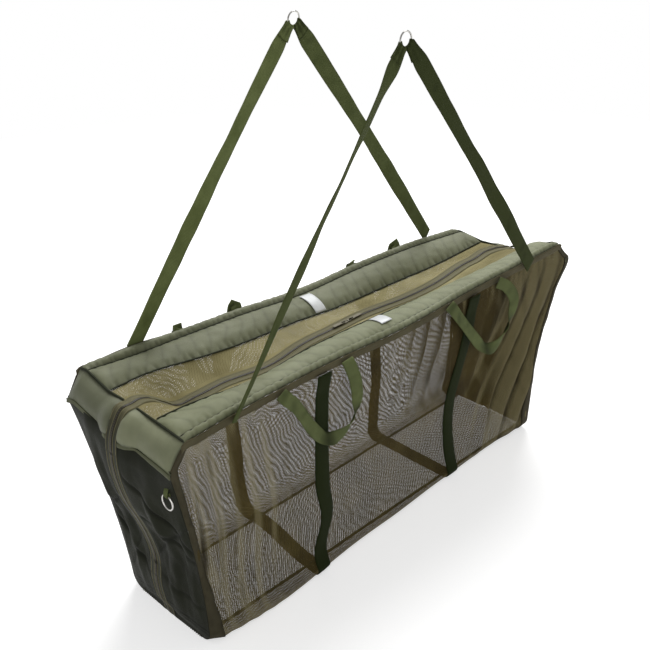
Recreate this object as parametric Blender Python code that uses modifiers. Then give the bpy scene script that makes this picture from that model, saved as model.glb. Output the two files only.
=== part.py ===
# A zip-closed floating weigh sling, standing on the ground with its lifting straps held up.
# Metres throughout. X runs along the sling, -X is the near end, -Y the front, the ground is z = 0.

import math

import bmesh
import bpy
from mathutils import Quaternion, Vector

# The bag
RIM_HEIGHT = 0.560
FLOAT_LENGTH = 1.230
RIDGE_SPACING = 0.304
BASE_LENGTH = 1.160
BASE_WIDTH = 0.220
BASE_ROUNDING = 0.030
WALL_THICKNESS = 0.0012
CLOTH_THICKNESS = 0.0010
WALL_TOP_DROP = 0.015
END_FLARE_SHARE = 1.6

# The padded floats and end pads
PANEL_WIDTH = 0.076
PANEL_SLOPE = math.radians(7)
STRIP_WIDTH = 0.028
STRIP_SLOPE = math.radians(8)
PANEL_TOP_CROWN = 0.009
PANEL_UNDER_CROWN = 0.013
STRIP_TOP_CROWN = 0.0085
STRIP_UNDER_CROWN = 0.0070
SEAM_THICKNESS = 0.003
COVER_THICKNESS = 0.0008
FOAM_CLEARANCE = 0.0008
FOAM_END_INSET = 0.045
PAD_REACH = 0.040
PAD_DROP = 0.056
PAD_OUTER_CROWN = 0.008
PAD_INNER_CROWN = 0.010
PAD_FOAM_INSET = 0.022

# How the back float lies: high at its near end, slumped at its far one, its inner edge lowest
BACK_NEAR_RISE = 0.028
BACK_FALL = 0.066
BACK_INNER_SAG = 0.014

# The zip
ZIP_DROP = 0.042
ZIP_NEAR_DROP = 0.004
ZIP_FAR_DROP = 0.038
ZIP_STRAIGHT_LENGTH = 0.960
ZIP_TAPE_WIDTH = 0.020
ZIP_TAPE_THICKNESS = 0.0008
ZIP_COIL_WIDTH = 0.003
ZIP_COIL_THICKNESS = 0.0024
ZIP_FOOT_HEIGHT = 0.022
SLIDER_LENGTH = 0.022
SLIDER_WIDTH = 0.0105
SLIDER_PLATE = 0.0022
SLIDER_NOSE_GAP = 0.003
BRIDGE_LENGTH = 0.0105
BRIDGE_WIDTH = 0.0024
BRIDGE_BAR = 0.0014
BRIDGE_CLEAR = 0.0028
PULL_LENGTH = 0.034
PULL_WIDTH = 0.0086
PULL_THICKNESS = 0.0014
PULL_EYE_LENGTH = 0.0062
PULL_EYE_WIDTH = 0.0044
PULL_BAR = 0.0016
STOP_LENGTH = 0.010
STOP_WIDTH = 0.012
STOP_THICKNESS = 0.0030

# Webbing
STRAP_WIDTH = 0.040
STRAP_THICKNESS = 0.0020
STRAP_FOOT_SPACING = 0.960
STRAP_HEIGHT = 0.651
FRONT_STRAP_LEAN = math.radians(0.5)
BACK_STRAP_LEAN = math.radians(3)
STRAP_GRIP_ANGLE = math.radians(45)
STRAP_WRAP_ANGLE = math.radians(41)
STRAP_GATHER_LENGTH = 0.055
STRAP_TAIL_LENGTH = 0.025
STRAP_TAIL_GAP = 0.0006
HANDLE_WIDTH = 0.030
HANDLE_THICKNESS = 0.0020
HANDLE_FOOT_SPACING = 0.182
HANDLE_DROP = 0.168
HANDLE_BEND_RADIUS = 0.022
BAND_SPACING = 0.500
BAND_WIDTH = 0.040
BAND_THICKNESS = 0.0015
BINDING_WIDTH = 0.0185
BINDING_OVERLAP = 0.009
CORNER_TAPE_WIDTH = 0.024
HINGE_STANDOFF = 0.0036

# Rings, tab and patches
RING_DIAMETER = 0.0365
RING_WIRE = 0.0035
LOOP_CLEARANCE = 0.0004
TAB_WIDTH = 0.012
TAB_THICKNESS = 0.0015
TAB_LENGTH = 0.028
TAB_TAIL_LENGTH = 0.012
TAB_DROP = 0.115
TAB_INSET = 0.026
TAB_STANDOFF = 0.0048
PATCH_LENGTH = 0.032
PATCH_THICKNESS = 0.0006

# Folds of the hanging cloth: how far each stands out, how wide it is and where it runs
FRONT_SWELL = 0.014
FRONT_HOLLOW = 0.022
BACK_HOLLOW = 0.014
MIDDLE_BULGE = 0.006
FOLD_DEPTH = 0.011
END_BULGE = 0.012
END_FOLD_DEPTH = 0.005
FLAT_BESIDE_BAND = 0.012
FLAP_SAG = 0.006

# Fits
GAP = 0.0003
GROUND_GAP = 0.0003
WELD = 0.00001

# Shares along or across a piece
STRIP_SHARES = (0.0, 0.12, 0.30, 0.50, 0.70, 0.88, 1.0)
PANEL_SHARES = (0.0, 0.08, 0.20, 0.35, 0.50, 0.65, 0.80, 0.92, 1.0)
PAD_SHARES = (0.0, 0.15, 0.40, 0.65, 0.85, 1.0)
FLOAT_STATION_SHARES = (-1.0, -0.985, -0.95, -0.6, -0.3, 0.0, 0.4, 0.7, 0.95, 0.985, 1.0)
FLOAT_CROWN_SHARES = (0.25, 0.8, 1.0, 1.0, 1.0, 1.0, 1.0, 1.0, 1.0, 0.8, 0.25)
LIE_STATION_SHARES = (-1.0, -0.6, -0.3, 0.0, 0.4, 0.7, 1.0)
FALL_SHARES = (0.0, 0.22, 0.39, 0.61, 0.65, 0.80, 1.0)
INNER_SAG_SHARES = (0.35, 0.45, 0.6, 0.75, 1.0, 0.9, 0.0)
PAD_LEAD_SHARE = 0.25
PAD_TAIL_SHARE = 0.6
PAD_CROWN_SHARES = (0.25, 0.8, 1.0, 1.0, 1.0, 0.8, 0.25)
PILLOW_SHARE = 2.6
WALL_STRAIGHT_SHARE = 0.88
PATCH_START_SHARE = 0.35
GATHER_SHARES = (0.6, 0.3)
FLAP_SHARES = (0.0, 0.5, 1.0)
ZIP_RISE_SHARES = (0.125, 0.25, 0.5, 0.75, 1.0)

ENDS = (("near", -1), ("far", 1))
SIDES = (("front", -1), ("back", 1))

# Sizes that follow
FLOAT_END = FLOAT_LENGTH / 2
RIDGE = RIDGE_SPACING / 2
SEAM_HALF = SEAM_THICKNESS / 2
BASE_END = BASE_LENGTH / 2
FOAM_END = FLOAT_END - FOAM_END_INSET
TAB_HEIGHT = RIM_HEIGHT - TAB_DROP
BASE_SIDE = BASE_WIDTH / 2
CLOTH_FOOT = BAND_THICKNESS + GROUND_GAP
PANEL_EDGE = RIDGE - PANEL_WIDTH * math.cos(PANEL_SLOPE)
PANEL_EDGE_HEIGHT = RIM_HEIGHT - PANEL_WIDTH * math.sin(PANEL_SLOPE)
STRIP_EDGE = RIDGE + STRIP_WIDTH * math.cos(STRIP_SLOPE)
STRIP_EDGE_HEIGHT = RIM_HEIGHT - STRIP_WIDTH * math.sin(STRIP_SLOPE)
BINDING_OFFSET = STRIP_EDGE + GAP + BAND_THICKNESS / 2
WALL_TOP = RIM_HEIGHT - WALL_TOP_DROP
WALL_TOP_OFFSET = BINDING_OFFSET - BAND_THICKNESS / 2 - GAP - WALL_THICKNESS / 2
BINDING_FOOT = WALL_TOP - BINDING_OVERLAP
BINDING_TOP = BINDING_FOOT + BINDING_WIDTH
WALL_FOOT_OFFSET = BASE_SIDE + GAP + BASE_ROUNDING
WALL_FOOT = CLOTH_FOOT + WALL_THICKNESS / 2
PAD_TOP_END = FLOAT_END + SEAM_HALF + GAP
PAD_FOOT_END = FLOAT_END + PAD_REACH
PAD_FOOT = RIM_HEIGHT - PAD_DROP
ZIP_HEIGHT = RIM_HEIGHT - ZIP_DROP
ZIP_NEAR_HEIGHT = RIM_HEIGHT - ZIP_NEAR_DROP
ZIP_FAR_HEIGHT = RIM_HEIGHT - ZIP_FAR_DROP
TAPE_EDGE = GAP + ZIP_TAPE_WIDTH
STRAP_OFFSET = STRIP_EDGE + HINGE_STANDOFF
STRAP_FOOT = BINDING_TOP - BAND_THICKNESS
RING_RADIUS = (RING_DIAMETER - RING_WIRE) / 2
RING_HEIGHT = STRAP_FOOT + STRAP_HEIGHT
LOOP_RADIUS = RING_WIRE / 2 + LOOP_CLEARANCE + STRAP_THICKNESS / 2
RING_OFFSET = STRAP_OFFSET - LOOP_RADIUS
RING_BOW = RING_RADIUS - math.sqrt(RING_RADIUS ** 2 - (TAB_WIDTH / 2) ** 2)
TAB_LOOP_RADIUS = RING_WIRE / 2 + RING_BOW + LOOP_CLEARANCE + TAB_THICKNESS / 2
SLIDER_BASE = ZIP_HEIGHT + ZIP_COIL_THICKNESS / 2 + GAP
PULL_AXIS_HEIGHT = SLIDER_BASE + SLIDER_PLATE + BRIDGE_CLEAR / 2
SLIDER_CENTRE = (SLIDER_NOSE_GAP + SLIDER_LENGTH) / 2


def start_scene():
    for item in list(bpy.data.objects):
        bpy.data.objects.remove(item, do_unlink=True)
    for name in ("WeighSling", "Cutters"):
        group = bpy.data.collections.new(name)
        bpy.context.scene.collection.children.link(group)


def finish(name, colour, roughness, metallic=0.0):
    material = bpy.data.materials.get(name) or bpy.data.materials.new(name)
    material.use_nodes = True
    shader = material.node_tree.nodes["Principled BSDF"]
    shader.inputs["Base Color"].default_value = (*colour, 1.0)
    shader.inputs["Roughness"].default_value = roughness
    shader.inputs["Metallic"].default_value = metallic
    return material


def float_cloth(name):
    return finish(name + "_float_cloth", (0.20, 0.23, 0.16), 0.55)


def dark_cloth(name):
    return finish(name + "_dark_cloth", (0.045, 0.050, 0.030), 0.6)


def mesh_cloth(name):
    return finish(name + "_mesh_cloth", (0.15, 0.13, 0.09), 0.8)


def webbing(name):
    return finish(name + "_webbing", (0.12, 0.15, 0.06), 0.75)


def zip_cloth(name):
    return finish(name + "_zip_tape", (0.16, 0.14, 0.07), 0.7)


def foam(name):
    return finish(name + "_foam", (0.80, 0.80, 0.76), 0.9)


def steel(name):
    return finish(name + "_steel", (0.62, 0.61, 0.58), 0.25, 1.0)


def pale_patch(name):
    return finish(name + "_patch", (0.72, 0.73, 0.73), 0.35)


def place_object(name, mesh, material, carrier=None):
    item = bpy.data.objects.new(name, mesh)
    item.data.materials.append(material)
    bpy.data.collections["WeighSling"].objects.link(item)
    if carrier:
        item.parent = carrier
        item.matrix_parent_inverse = carrier.matrix_world.inverted()
    return item


def joint_empty(name, point, carrier=None):
    empty = bpy.data.objects.new(name, None)
    bpy.data.collections["WeighSling"].objects.link(empty)
    empty.matrix_world.translation = Vector(point)
    empty.location = Vector(point)
    bpy.context.view_layer.update()
    if carrier:
        empty.parent = carrier
        empty.matrix_parent_inverse = carrier.matrix_world.inverted()
        bpy.context.view_layer.update()
    return empty


def mapped_mesh(name, columns, rows, place, capped=False):
    """A grid whose corners are moved to place(column, row); a grid that closes on itself is welded."""
    bm = bmesh.new()
    bmesh.ops.create_grid(bm, x_segments=columns, y_segments=rows, size=1)
    for vert in bm.verts:
        column = round((vert.co.x + 1) / 2 * columns)
        row = round((vert.co.y + 1) / 2 * rows)
        vert.co = Vector(place(column, row))
    bmesh.ops.remove_doubles(bm, verts=bm.verts, dist=WELD)
    if capped:
        bmesh.ops.holes_fill(bm, edges=[edge for edge in bm.edges if edge.is_boundary], sides=0)
        bmesh.ops.recalc_face_normals(bm, faces=bm.faces)
    mesh = bpy.data.meshes.new(name)
    bm.to_mesh(mesh)
    bm.free()
    return mesh


def add_thickness(item, thickness, offset=0.0):
    wall = item.modifiers.new("Thickness", "SOLIDIFY")
    wall.thickness = thickness
    wall.offset = offset
    wall.use_even_offset = True


def sheet(name, columns, rows, place, thickness, material, carrier=None):
    """An open cloth of even thickness about the surface place(column, row)."""
    mesh = mapped_mesh(name, columns, rows, place)
    item = place_object(name, mesh, material, carrier)
    add_thickness(item, thickness)
    return item


def sleeve(name, loops, thickness, material, carrier=None):
    """A cover sewn as a tube through loops of points, open at both ends."""
    count = len(loops[0])
    mesh = mapped_mesh(name, count, len(loops) - 1, lambda c, r: loops[r][c % count])
    bm = bmesh.new()
    bm.from_mesh(mesh)
    bmesh.ops.recalc_face_normals(bm, faces=bm.faces)
    middle = sum((vert.co for vert in bm.verts), Vector()) / len(bm.verts)
    facing = sum((face.normal.dot(face.calc_center_median() - middle) for face in bm.faces))
    if facing < 0:
        bmesh.ops.reverse_faces(bm, faces=bm.faces)
    bm.to_mesh(mesh)
    bm.free()
    item = place_object(name, mesh, material, carrier)
    add_thickness(item, thickness, -1.0)
    return item


def solid(name, loops, material, carrier=None):
    """A closed body through loops of points, with flat ends."""
    count = len(loops[0])
    mesh = mapped_mesh(name, count, len(loops) - 1, lambda c, r: loops[r][c % count], True)
    return place_object(name, mesh, material, carrier)


def ribbon(name, stations, thickness, material, carrier=None):
    """A webbing through stations, each a centre and the vector from it to one edge."""

    def place(column, row):
        centre, reach = stations[row]
        return centre + reach * (2 * column - 1)

    return sheet(name, 1, len(stations) - 1, place, thickness, material, carrier)


def between(low, high, share):
    return low + (high - low) * share


def eased(share):
    return share * share * (3 - 2 * share)


def read_table(positions, values, position, level=False):
    """The value at a position, straight between the table's entries or level at each of them."""
    if position <= positions[0]:
        return values[0]
    for i in range(1, len(positions)):
        if position <= positions[i]:
            share = (position - positions[i - 1]) / (positions[i] - positions[i - 1])
            return between(values[i - 1], values[i], eased(share) if level else share)
    return values[-1]


def pillow(share):
    """How far a stuffed channel stands out, from its seam at 0 to its seam at 1."""
    return 1 - abs(2 * share - 1) ** PILLOW_SHARE


# The sling's own surfaces

def float_rise(side, x):
    """How far a float stands above the level rim along its length; the front one lies level."""
    if side < 0:
        return 0
    return BACK_NEAR_RISE - BACK_FALL * read_table(LIE_STATION_SHARES, FALL_SHARES, x / FLOAT_END)


def inner_sag(side, x):
    """How far a float's inner edge hangs below its usual place."""
    if side < 0:
        return 0
    return BACK_INNER_SAG * read_table(LIE_STATION_SHARES, INNER_SAG_SHARES, x / FLOAT_END)


def seam_points(side, x):
    """A float's outer edge, ridge and inner edge, each as an offset and a height."""
    rise = float_rise(side, x)
    edge = Vector((STRIP_EDGE, STRIP_EDGE_HEIGHT + rise))
    ridge = Vector((RIDGE, RIM_HEIGHT + rise))
    inner = Vector((PANEL_EDGE, PANEL_EDGE_HEIGHT + rise - inner_sag(side, x)))
    return edge, ridge, inner


def zip_end_height(end):
    return ZIP_NEAR_HEIGHT if end < 0 else ZIP_FAR_HEIGHT


def rim_line(side, end, offset):
    """The height of the mouth's end edge at a distance from the middle."""
    edge, ridge, inner = seam_points(side, end * FLOAT_END)
    offsets = (0, inner.x, ridge.x, edge.x)
    return read_table(offsets, (zip_end_height(end), inner.y, ridge.y, edge.y), offset)


def zip_level(x):
    """The zip's height: it hangs low along the middle and rises to the end pads."""
    low = ZIP_STRAIGHT_LENGTH / 2
    share = min(1, max(0, (abs(x) - low) / (PAD_TOP_END - low)))
    return between(ZIP_HEIGHT, zip_end_height(x), eased(share))


def wall_top(side, x):
    return WALL_TOP + float_rise(side, x)


def corner_foot(side, end):
    """The height of the end pad's lower edge at a corner of the mouth."""
    return PAD_FOOT + float_rise(side, end * FLOAT_END)


def corner_reach(height, foot=PAD_FOOT):
    """How far from the middle of the length the bag's end stands at a height, below a pad's foot."""
    if height > foot:
        return between(PAD_FOOT_END, FLOAT_END, (height - foot) / PAD_DROP)
    share = max(0, height) / foot
    return between(BASE_END, PAD_FOOT_END, share ** END_FLARE_SHARE)


def wall_path(share, top=WALL_TOP):
    """Offset and height of a side wall, from its top at 0 to the edge of the base at 1."""
    knee = WALL_FOOT + BASE_ROUNDING
    if share <= WALL_STRAIGHT_SHARE:
        part = share / WALL_STRAIGHT_SHARE
        return between(WALL_TOP_OFFSET, WALL_FOOT_OFFSET, part), between(top, knee, part)
    angle = (share - WALL_STRAIGHT_SHARE) / (1 - WALL_STRAIGHT_SHARE) * math.pi / 2
    offset = WALL_FOOT_OFFSET - BASE_ROUNDING * (1 - math.cos(angle))
    return offset, knee - BASE_ROUNDING * math.sin(angle)


def wall_rows(rows, bend_rows=4):
    """Shares down a side wall: even on the straight part, closer round the bend into the base."""
    straight = [WALL_STRAIGHT_SHARE * i / rows for i in range(rows)]
    bend = [between(WALL_STRAIGHT_SHARE, 1, i / bend_rows) for i in range(bend_rows + 1)]
    return straight + bend


def wall_offset(height, top=WALL_TOP):
    """How far a side wall stands from the middle at a height."""
    knee = WALL_FOOT + BASE_ROUNDING
    if height >= knee:
        share = (height - knee) / (top - knee)
        return between(WALL_FOOT_OFFSET, WALL_TOP_OFFSET, min(1, share))
    drop = min(BASE_ROUNDING, knee - height)
    return WALL_FOOT_OFFSET - BASE_ROUNDING + math.sqrt(BASE_ROUNDING ** 2 - drop ** 2)


def wall_swell(side, x, share, last):
    """A side wall's broad swell and hollow. It is level across each body band."""
    band = BAND_SPACING / 2
    clear = BAND_WIDTH / 2 + FLAT_BESIDE_BAND
    stations = (-last, -band - clear, -band + clear, band - clear, band + clear, last)
    part = min(1, share / WALL_STRAIGHT_SHARE)
    if side > 0:
        hollow = read_table(stations, (0, 1, 1, 1, 1, 0), x, True)
        return -BACK_HOLLOW * hollow * math.sin(math.pi * part)
    near = read_table(stations, (0, 1, 1, 0, 0, 0), x, True)
    far = read_table(stations, (0, 0, 0, 1, 1, 0), x, True)
    return (FRONT_SWELL * near - FRONT_HOLLOW * far) * math.sin(math.pi * part * part)


def wall_fold(side, x, share, last):
    """How far the hanging mesh stands out of its plane: slack between the bands, folds at the ends."""
    band = BAND_SPACING / 2
    clear = BAND_WIDTH / 2 + FLAT_BESIDE_BAND
    hang = math.sin(math.pi * min(1, share / WALL_STRAIGHT_SHARE))
    swell = wall_swell(side, x, share, last)
    if abs(x) < band - clear:
        return swell + MIDDLE_BULGE * hang * math.cos(math.pi / 2 * x / (band - clear)) ** 2
    if abs(x) < band + clear:
        return swell
    along = min(1, max(0, (abs(x) - band - clear) / (last - band - clear)))
    return swell + FOLD_DEPTH * hang * math.sin(math.pi * along) * math.sin(3 * math.pi * along)


def path_normal(share, top=WALL_TOP):
    """The direction out of a side wall, as offset and height."""
    step = WALL_THICKNESS / RIM_HEIGHT
    ahead, behind = wall_path(min(1, share + step), top), wall_path(max(0, share - step), top)
    run, fall = ahead[0] - behind[0], ahead[1] - behind[1]
    length = math.hypot(run, fall)
    return -fall / length, run / length


# The floats

def float_loop(side, x, scale):
    """A float's cross-section as offsets and heights: outer channel, ridge seam, inner channel.
    Its two outward directions come with it."""
    edge, ridge, inner = seam_points(side, x)
    strip_run, panel_run = (edge - ridge).normalized(), (inner - ridge).normalized()
    strip_out = Vector((-strip_run.y, strip_run.x))
    panel_out = Vector((panel_run.y, -panel_run.x))
    upright = Vector((0, 1))
    top, under = [], []
    for share in STRIP_SHARES[:-1]:
        middle = edge.lerp(ridge, share)
        top.append(middle + strip_out * (SEAM_HALF + STRIP_TOP_CROWN * scale * pillow(share)))
        under.append(middle - strip_out * (SEAM_HALF + STRIP_UNDER_CROWN * scale * pillow(share)))
    top.append(ridge + upright * SEAM_HALF)
    under.append(ridge - upright * SEAM_HALF)
    for share in PANEL_SHARES[1:-1]:
        middle = ridge.lerp(inner, share)
        top.append(middle + panel_out * (SEAM_HALF + PANEL_TOP_CROWN * scale * pillow(share)))
        under.append(middle - panel_out * (SEAM_HALF + PANEL_UNDER_CROWN * scale * pillow(share)))
    top.append(inner + upright * SEAM_HALF)
    under.append(inner - upright * SEAM_HALF)
    return top, under, strip_out, panel_out


def make_float(side_name, side, carrier):
    loops = []
    for share, crown in zip(FLOAT_STATION_SHARES, FLOAT_CROWN_SHARES):
        top, under, _, _ = float_loop(side, share * FLOAT_END, crown)
        ring = top + under[::-1]
        loops.append([Vector((share * FLOAT_END, side * p.x, p.y)) for p in ring])
    cover = side_name + "_float_cover"
    sleeve(cover, loops, COVER_THICKNESS, float_cloth(cover), carrier)
    inset = COVER_THICKNESS + FOAM_CLEARANCE
    strip_count, panel_count = len(STRIP_SHARES), len(PANEL_SHARES)
    cores = (
        ("outer", range(1, strip_count - 1), 2),
        ("inner", range(strip_count, strip_count + panel_count - 2), 3),
    )
    places = [share * FLOAT_END for share in FLOAT_STATION_SHARES if abs(share) * FLOAT_END < FOAM_END]
    places = [-FOAM_END, *places, FOAM_END]
    for core_name, indices, which in cores:
        loops = []
        for x in places:
            loop = float_loop(side, x, 1.0)
            top, under, out = loop[0], loop[1], loop[which]
            ring = [top[i] - out * inset for i in indices]
            ring += [under[i] + out * inset for i in reversed(indices)]
            loops.append([Vector((x, side * p.x, p.y)) for p in ring])
        name = side_name + "_float_" + core_name + "_foam"
        solid(name, loops, foam(name), carrier)


def pad_offsets():
    """Where an end pad's cross-sections stand, from the zip's tape out to the side wall."""
    first = TAPE_EDGE + GAP
    last = wall_offset(PAD_FOOT) - WALL_THICKNESS - GAP
    lead = between(first, PANEL_EDGE, PAD_LEAD_SHARE)
    tail = between(RIDGE, last, PAD_TAIL_SHARE)
    return first, lead, PANEL_EDGE, (PANEL_EDGE + RIDGE) / 2, RIDGE, tail, last


def make_end_pad(end_name, end, side_name, side, carrier):
    along = Vector((PAD_FOOT_END - PAD_TOP_END, -PAD_DROP)).normalized()
    out = Vector((-along.y, along.x))
    stations = pad_offsets()

    def ring(offset, inset, shares):
        crown = read_table(stations, PAD_CROWN_SHARES, offset)
        top = Vector((PAD_TOP_END, rim_line(side, end, offset)))
        foot = Vector((PAD_FOOT_END, rim_line(side, end, offset) - PAD_DROP))
        outer, inner = [], []
        for share in shares:
            middle = top.lerp(foot, share)
            swell = crown * pillow(share)
            outer.append(middle + out * (SEAM_HALF + PAD_OUTER_CROWN * swell - inset))
            inner.append(middle - out * (SEAM_HALF + PAD_INNER_CROWN * swell - inset))
        points = outer + inner[::-1]
        return [Vector((end * p.x, side * offset, p.y)) for p in points]

    cover = f"{end_name}_{side_name}_end_pad_cover"
    loops = [ring(offset, 0, PAD_SHARES) for offset in stations]
    sleeve(cover, loops, COVER_THICKNESS, float_cloth(cover), carrier)
    core = f"{end_name}_{side_name}_end_pad_foam"
    low, high = stations[0] + PAD_FOAM_INSET, stations[-1] - PAD_FOAM_INSET
    cuts = [low, *[offset for offset in stations if low < offset < high], high]
    inset = COVER_THICKNESS + FOAM_CLEARANCE
    solid(core, [ring(offset, inset, PAD_SHARES[1:-1]) for offset in cuts], foam(core), carrier)


# Walls, base and flaps

def make_wall(side_name, side, carrier, columns=30, rows=8):
    shares = wall_rows(rows)

    def place(column, row):
        share, across = shares[row], 2 * column / columns - 1
        end = -1 if across < 0 else 1
        end_height = wall_path(share, wall_top(side, end * FLOAT_END))[1]
        last = corner_reach(end_height, corner_foot(side, end)) - CORNER_TAPE_WIDTH
        x = across * (last - GAP)
        top = wall_top(side, x)
        offset, height = wall_path(share, top)
        out = path_normal(share, top)
        fold = wall_fold(side, x, share, last)
        return x, side * (offset + out[0] * fold), height + out[1] * fold

    name = side_name + "_mesh_wall"
    sheet(name, columns, len(shares) - 1, place, WALL_THICKNESS, mesh_cloth(name), carrier)


def make_corner_tape(end_name, end, side_name, side, carrier, rows=8):
    shares = wall_rows(rows)

    def place(column, row):
        height = wall_path(shares[row], wall_top(side, end * FLOAT_END))[1]
        x = corner_reach(height, corner_foot(side, end)) - CORNER_TAPE_WIDTH * (1 - column)
        offset, height = wall_path(shares[row], wall_top(side, end * x))
        return end * x, side * offset, height

    name = f"{end_name}_{side_name}_corner_tape"
    sheet(name, 1, len(shares) - 1, place, WALL_THICKNESS, webbing(name), carrier)


def make_top_binding(side_name, side, carrier, rows=2):
    last = len(LIE_STATION_SHARES) - 1

    def place(column, row):
        height = between(BINDING_FOOT, BINDING_TOP, row / rows)
        x = LIE_STATION_SHARES[column] * FLOAT_END
        if column in (0, last):
            x *= corner_reach(height) / FLOAT_END
        return x, side * BINDING_OFFSET, height + float_rise(side, x)

    name = side_name + "_top_binding"
    sheet(name, last, rows, place, BAND_THICKNESS, webbing(name), carrier)


def end_wall_bulge(share, across):
    """How far an end wall stands out, down its height and across from the zip to the corner."""
    slack = math.sin(math.pi * across) * math.sin(math.pi * share)
    return slack * (END_BULGE + END_FOLD_DEPTH * math.sin(4 * math.pi * across))


def make_end_wall(end_name, end, side_name, side, carrier, rows=10):
    offsets = pad_offsets()
    first = offsets[0]
    shares = [(offset - first) / (offsets[-1] - first) for offset in offsets]

    def place(column, row):
        share, across = row / rows, shares[column]
        offset, height, foot = offsets[column], CLOTH_FOOT, PAD_FOOT
        for _ in range(6):
            foot = rim_line(side, end, offset) - PAD_DROP
            height = between(foot - SEAM_THICKNESS, CLOTH_FOOT, share)
            wall = wall_offset(height + WALL_THICKNESS, wall_top(side, end * FLOAT_END))
            offset = between(first, wall - WALL_THICKNESS - GAP, across)
        x = corner_reach(height, foot) + GAP + CLOTH_THICKNESS / 2 + end_wall_bulge(share, across)
        return end * x, side * offset, height

    name = f"{end_name}_{side_name}_end_wall"
    columns = len(offsets) - 1
    sheet(name, columns, rows, place, CLOTH_THICKNESS, dark_cloth(name), carrier)


def make_base_panel(carrier):
    def place(column, row):
        y = between(-BASE_SIDE, BASE_SIDE, row)
        return between(-BASE_END, BASE_END, column), y, CLOTH_FOOT + WALL_THICKNESS / 2

    sheet("base_panel", 1, 1, place, WALL_THICKNESS, mesh_cloth("base_panel"), carrier)


def make_top_flap(side_name, side, carrier, rows=3):
    first, last = TAPE_EDGE + GAP, PANEL_EDGE - GAP - CLOTH_THICKNESS / 2
    half = [ZIP_STRAIGHT_LENGTH / 2 * share for share in FLAP_SHARES]
    half += [between(half[-1], FLOAT_END, share) for share in ZIP_RISE_SHARES]
    lie = [share * FLOAT_END for share in LIE_STATION_SHARES[1:-1]]
    stations = sorted({end * x for x in half for end in (-1, 1)} | set(lie))

    def place(column, row):
        across, x = row / rows, stations[column]
        sag = FLAP_SAG * math.sin(math.pi * across) * math.cos(math.pi / 2 * x / FLOAT_END)
        offset = between(first, last, across)
        inner = seam_points(side, x)[2]
        return x, side * offset, between(zip_level(x), inner.y, across) - sag

    name = side_name + "_top_flap"
    sheet(name, len(stations) - 1, rows, place, CLOTH_THICKNESS, mesh_cloth(name), carrier)


def make_band(side_name, side, end_name, end, carrier, rows=8):
    """The body webbing on a side wall, from the float's binding down to the base."""
    lift = WALL_THICKNESS / 2 + GAP + BAND_THICKNESS / 2
    start = WALL_STRAIGHT_SHARE * (BINDING_OVERLAP + GAP + BAND_THICKNESS) / (WALL_TOP - BASE_ROUNDING)
    shares = [max(start, share) for share in wall_rows(rows)]

    def place(column, row):
        share = shares[row]
        x = end * BAND_SPACING / 2 + BAND_WIDTH * (column - 1 / 2)
        top = wall_top(side, x)
        offset, height = wall_path(share, top)
        out = path_normal(share, top)
        stand = lift + wall_fold(side, x, share, FLOAT_END)
        return x, side * (offset + out[0] * stand), max(BAND_THICKNESS / 2, height + out[1] * stand)

    name = f"{end_name}_{side_name}_body_band"
    sheet(name, 1, len(shares) - 1, place, BAND_THICKNESS, webbing(name), carrier)


def make_base_band(end_name, end, carrier):
    def place(column, row):
        x = end * BAND_SPACING / 2 + BAND_WIDTH * (column - 1 / 2)
        return x, between(-BASE_SIDE, BASE_SIDE, row), BAND_THICKNESS / 2

    name = end_name + "_base_band"
    sheet(name, 1, 1, place, BAND_THICKNESS, webbing(name), carrier)


# The zip

def zip_end_path(end):
    """Points up an end and in along the top to where the zip lies straight, as x and height."""
    foot = zip_end_height(end) - PAD_DROP
    heights = [between(ZIP_FOOT_HEIGHT, foot, i / 7) for i in range(8)]
    path = [Vector((corner_reach(h, foot) + GAP + CLOTH_THICKNESS / 2, h)) for h in heights]
    crest = Vector((PAD_TOP_END, zip_end_height(end)))
    slope = (crest - path[-1]).normalized()
    path.append(crest - slope * ZIP_TAPE_WIDTH / 2)
    path.append(crest - (slope + Vector((1, 0))) * ZIP_TAPE_WIDTH / 8)
    low = ZIP_STRAIGHT_LENGTH / 2
    for share in ZIP_RISE_SHARES[::-1]:
        x = between(low, FLOAT_END - ZIP_TAPE_WIDTH / 2, share)
        path.append(Vector((x, zip_level(end * x))))
    path.append(Vector((low, ZIP_HEIGHT)))
    return [Vector((end * p.x, p.y)) for p in path]


def zip_path():
    """Points up the near end, along the top and down the far end, with the direction out of each."""
    points = zip_end_path(-1) + zip_end_path(1)[::-1]
    outs = []
    for i in range(len(points)):
        run = points[min(i + 1, len(points) - 1)] - points[max(i - 1, 0)]
        outs.append(Vector((-run.y, run.x)).normalized())
    return points, outs


def make_zip_tape(side_name, side, carrier):
    tape, coil = ZIP_TAPE_THICKNESS / 2, ZIP_COIL_THICKNESS / 2
    coil_edge = GAP + ZIP_COIL_WIDTH
    section = (
        (GAP, -coil), (coil_edge, -coil), (coil_edge, -tape), (TAPE_EDGE, -tape),
        (TAPE_EDGE, tape), (coil_edge, tape), (coil_edge, coil), (GAP, coil),
    )
    loops = []
    for point, out in zip(*zip_path()):
        loops.append([
            Vector((point.x + out.x * lift, side * offset, point.y + out.y * lift))
            for offset, lift in section
        ])
    name = side_name + "_zip_tape"
    solid(name, loops, zip_cloth(name), carrier)


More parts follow.
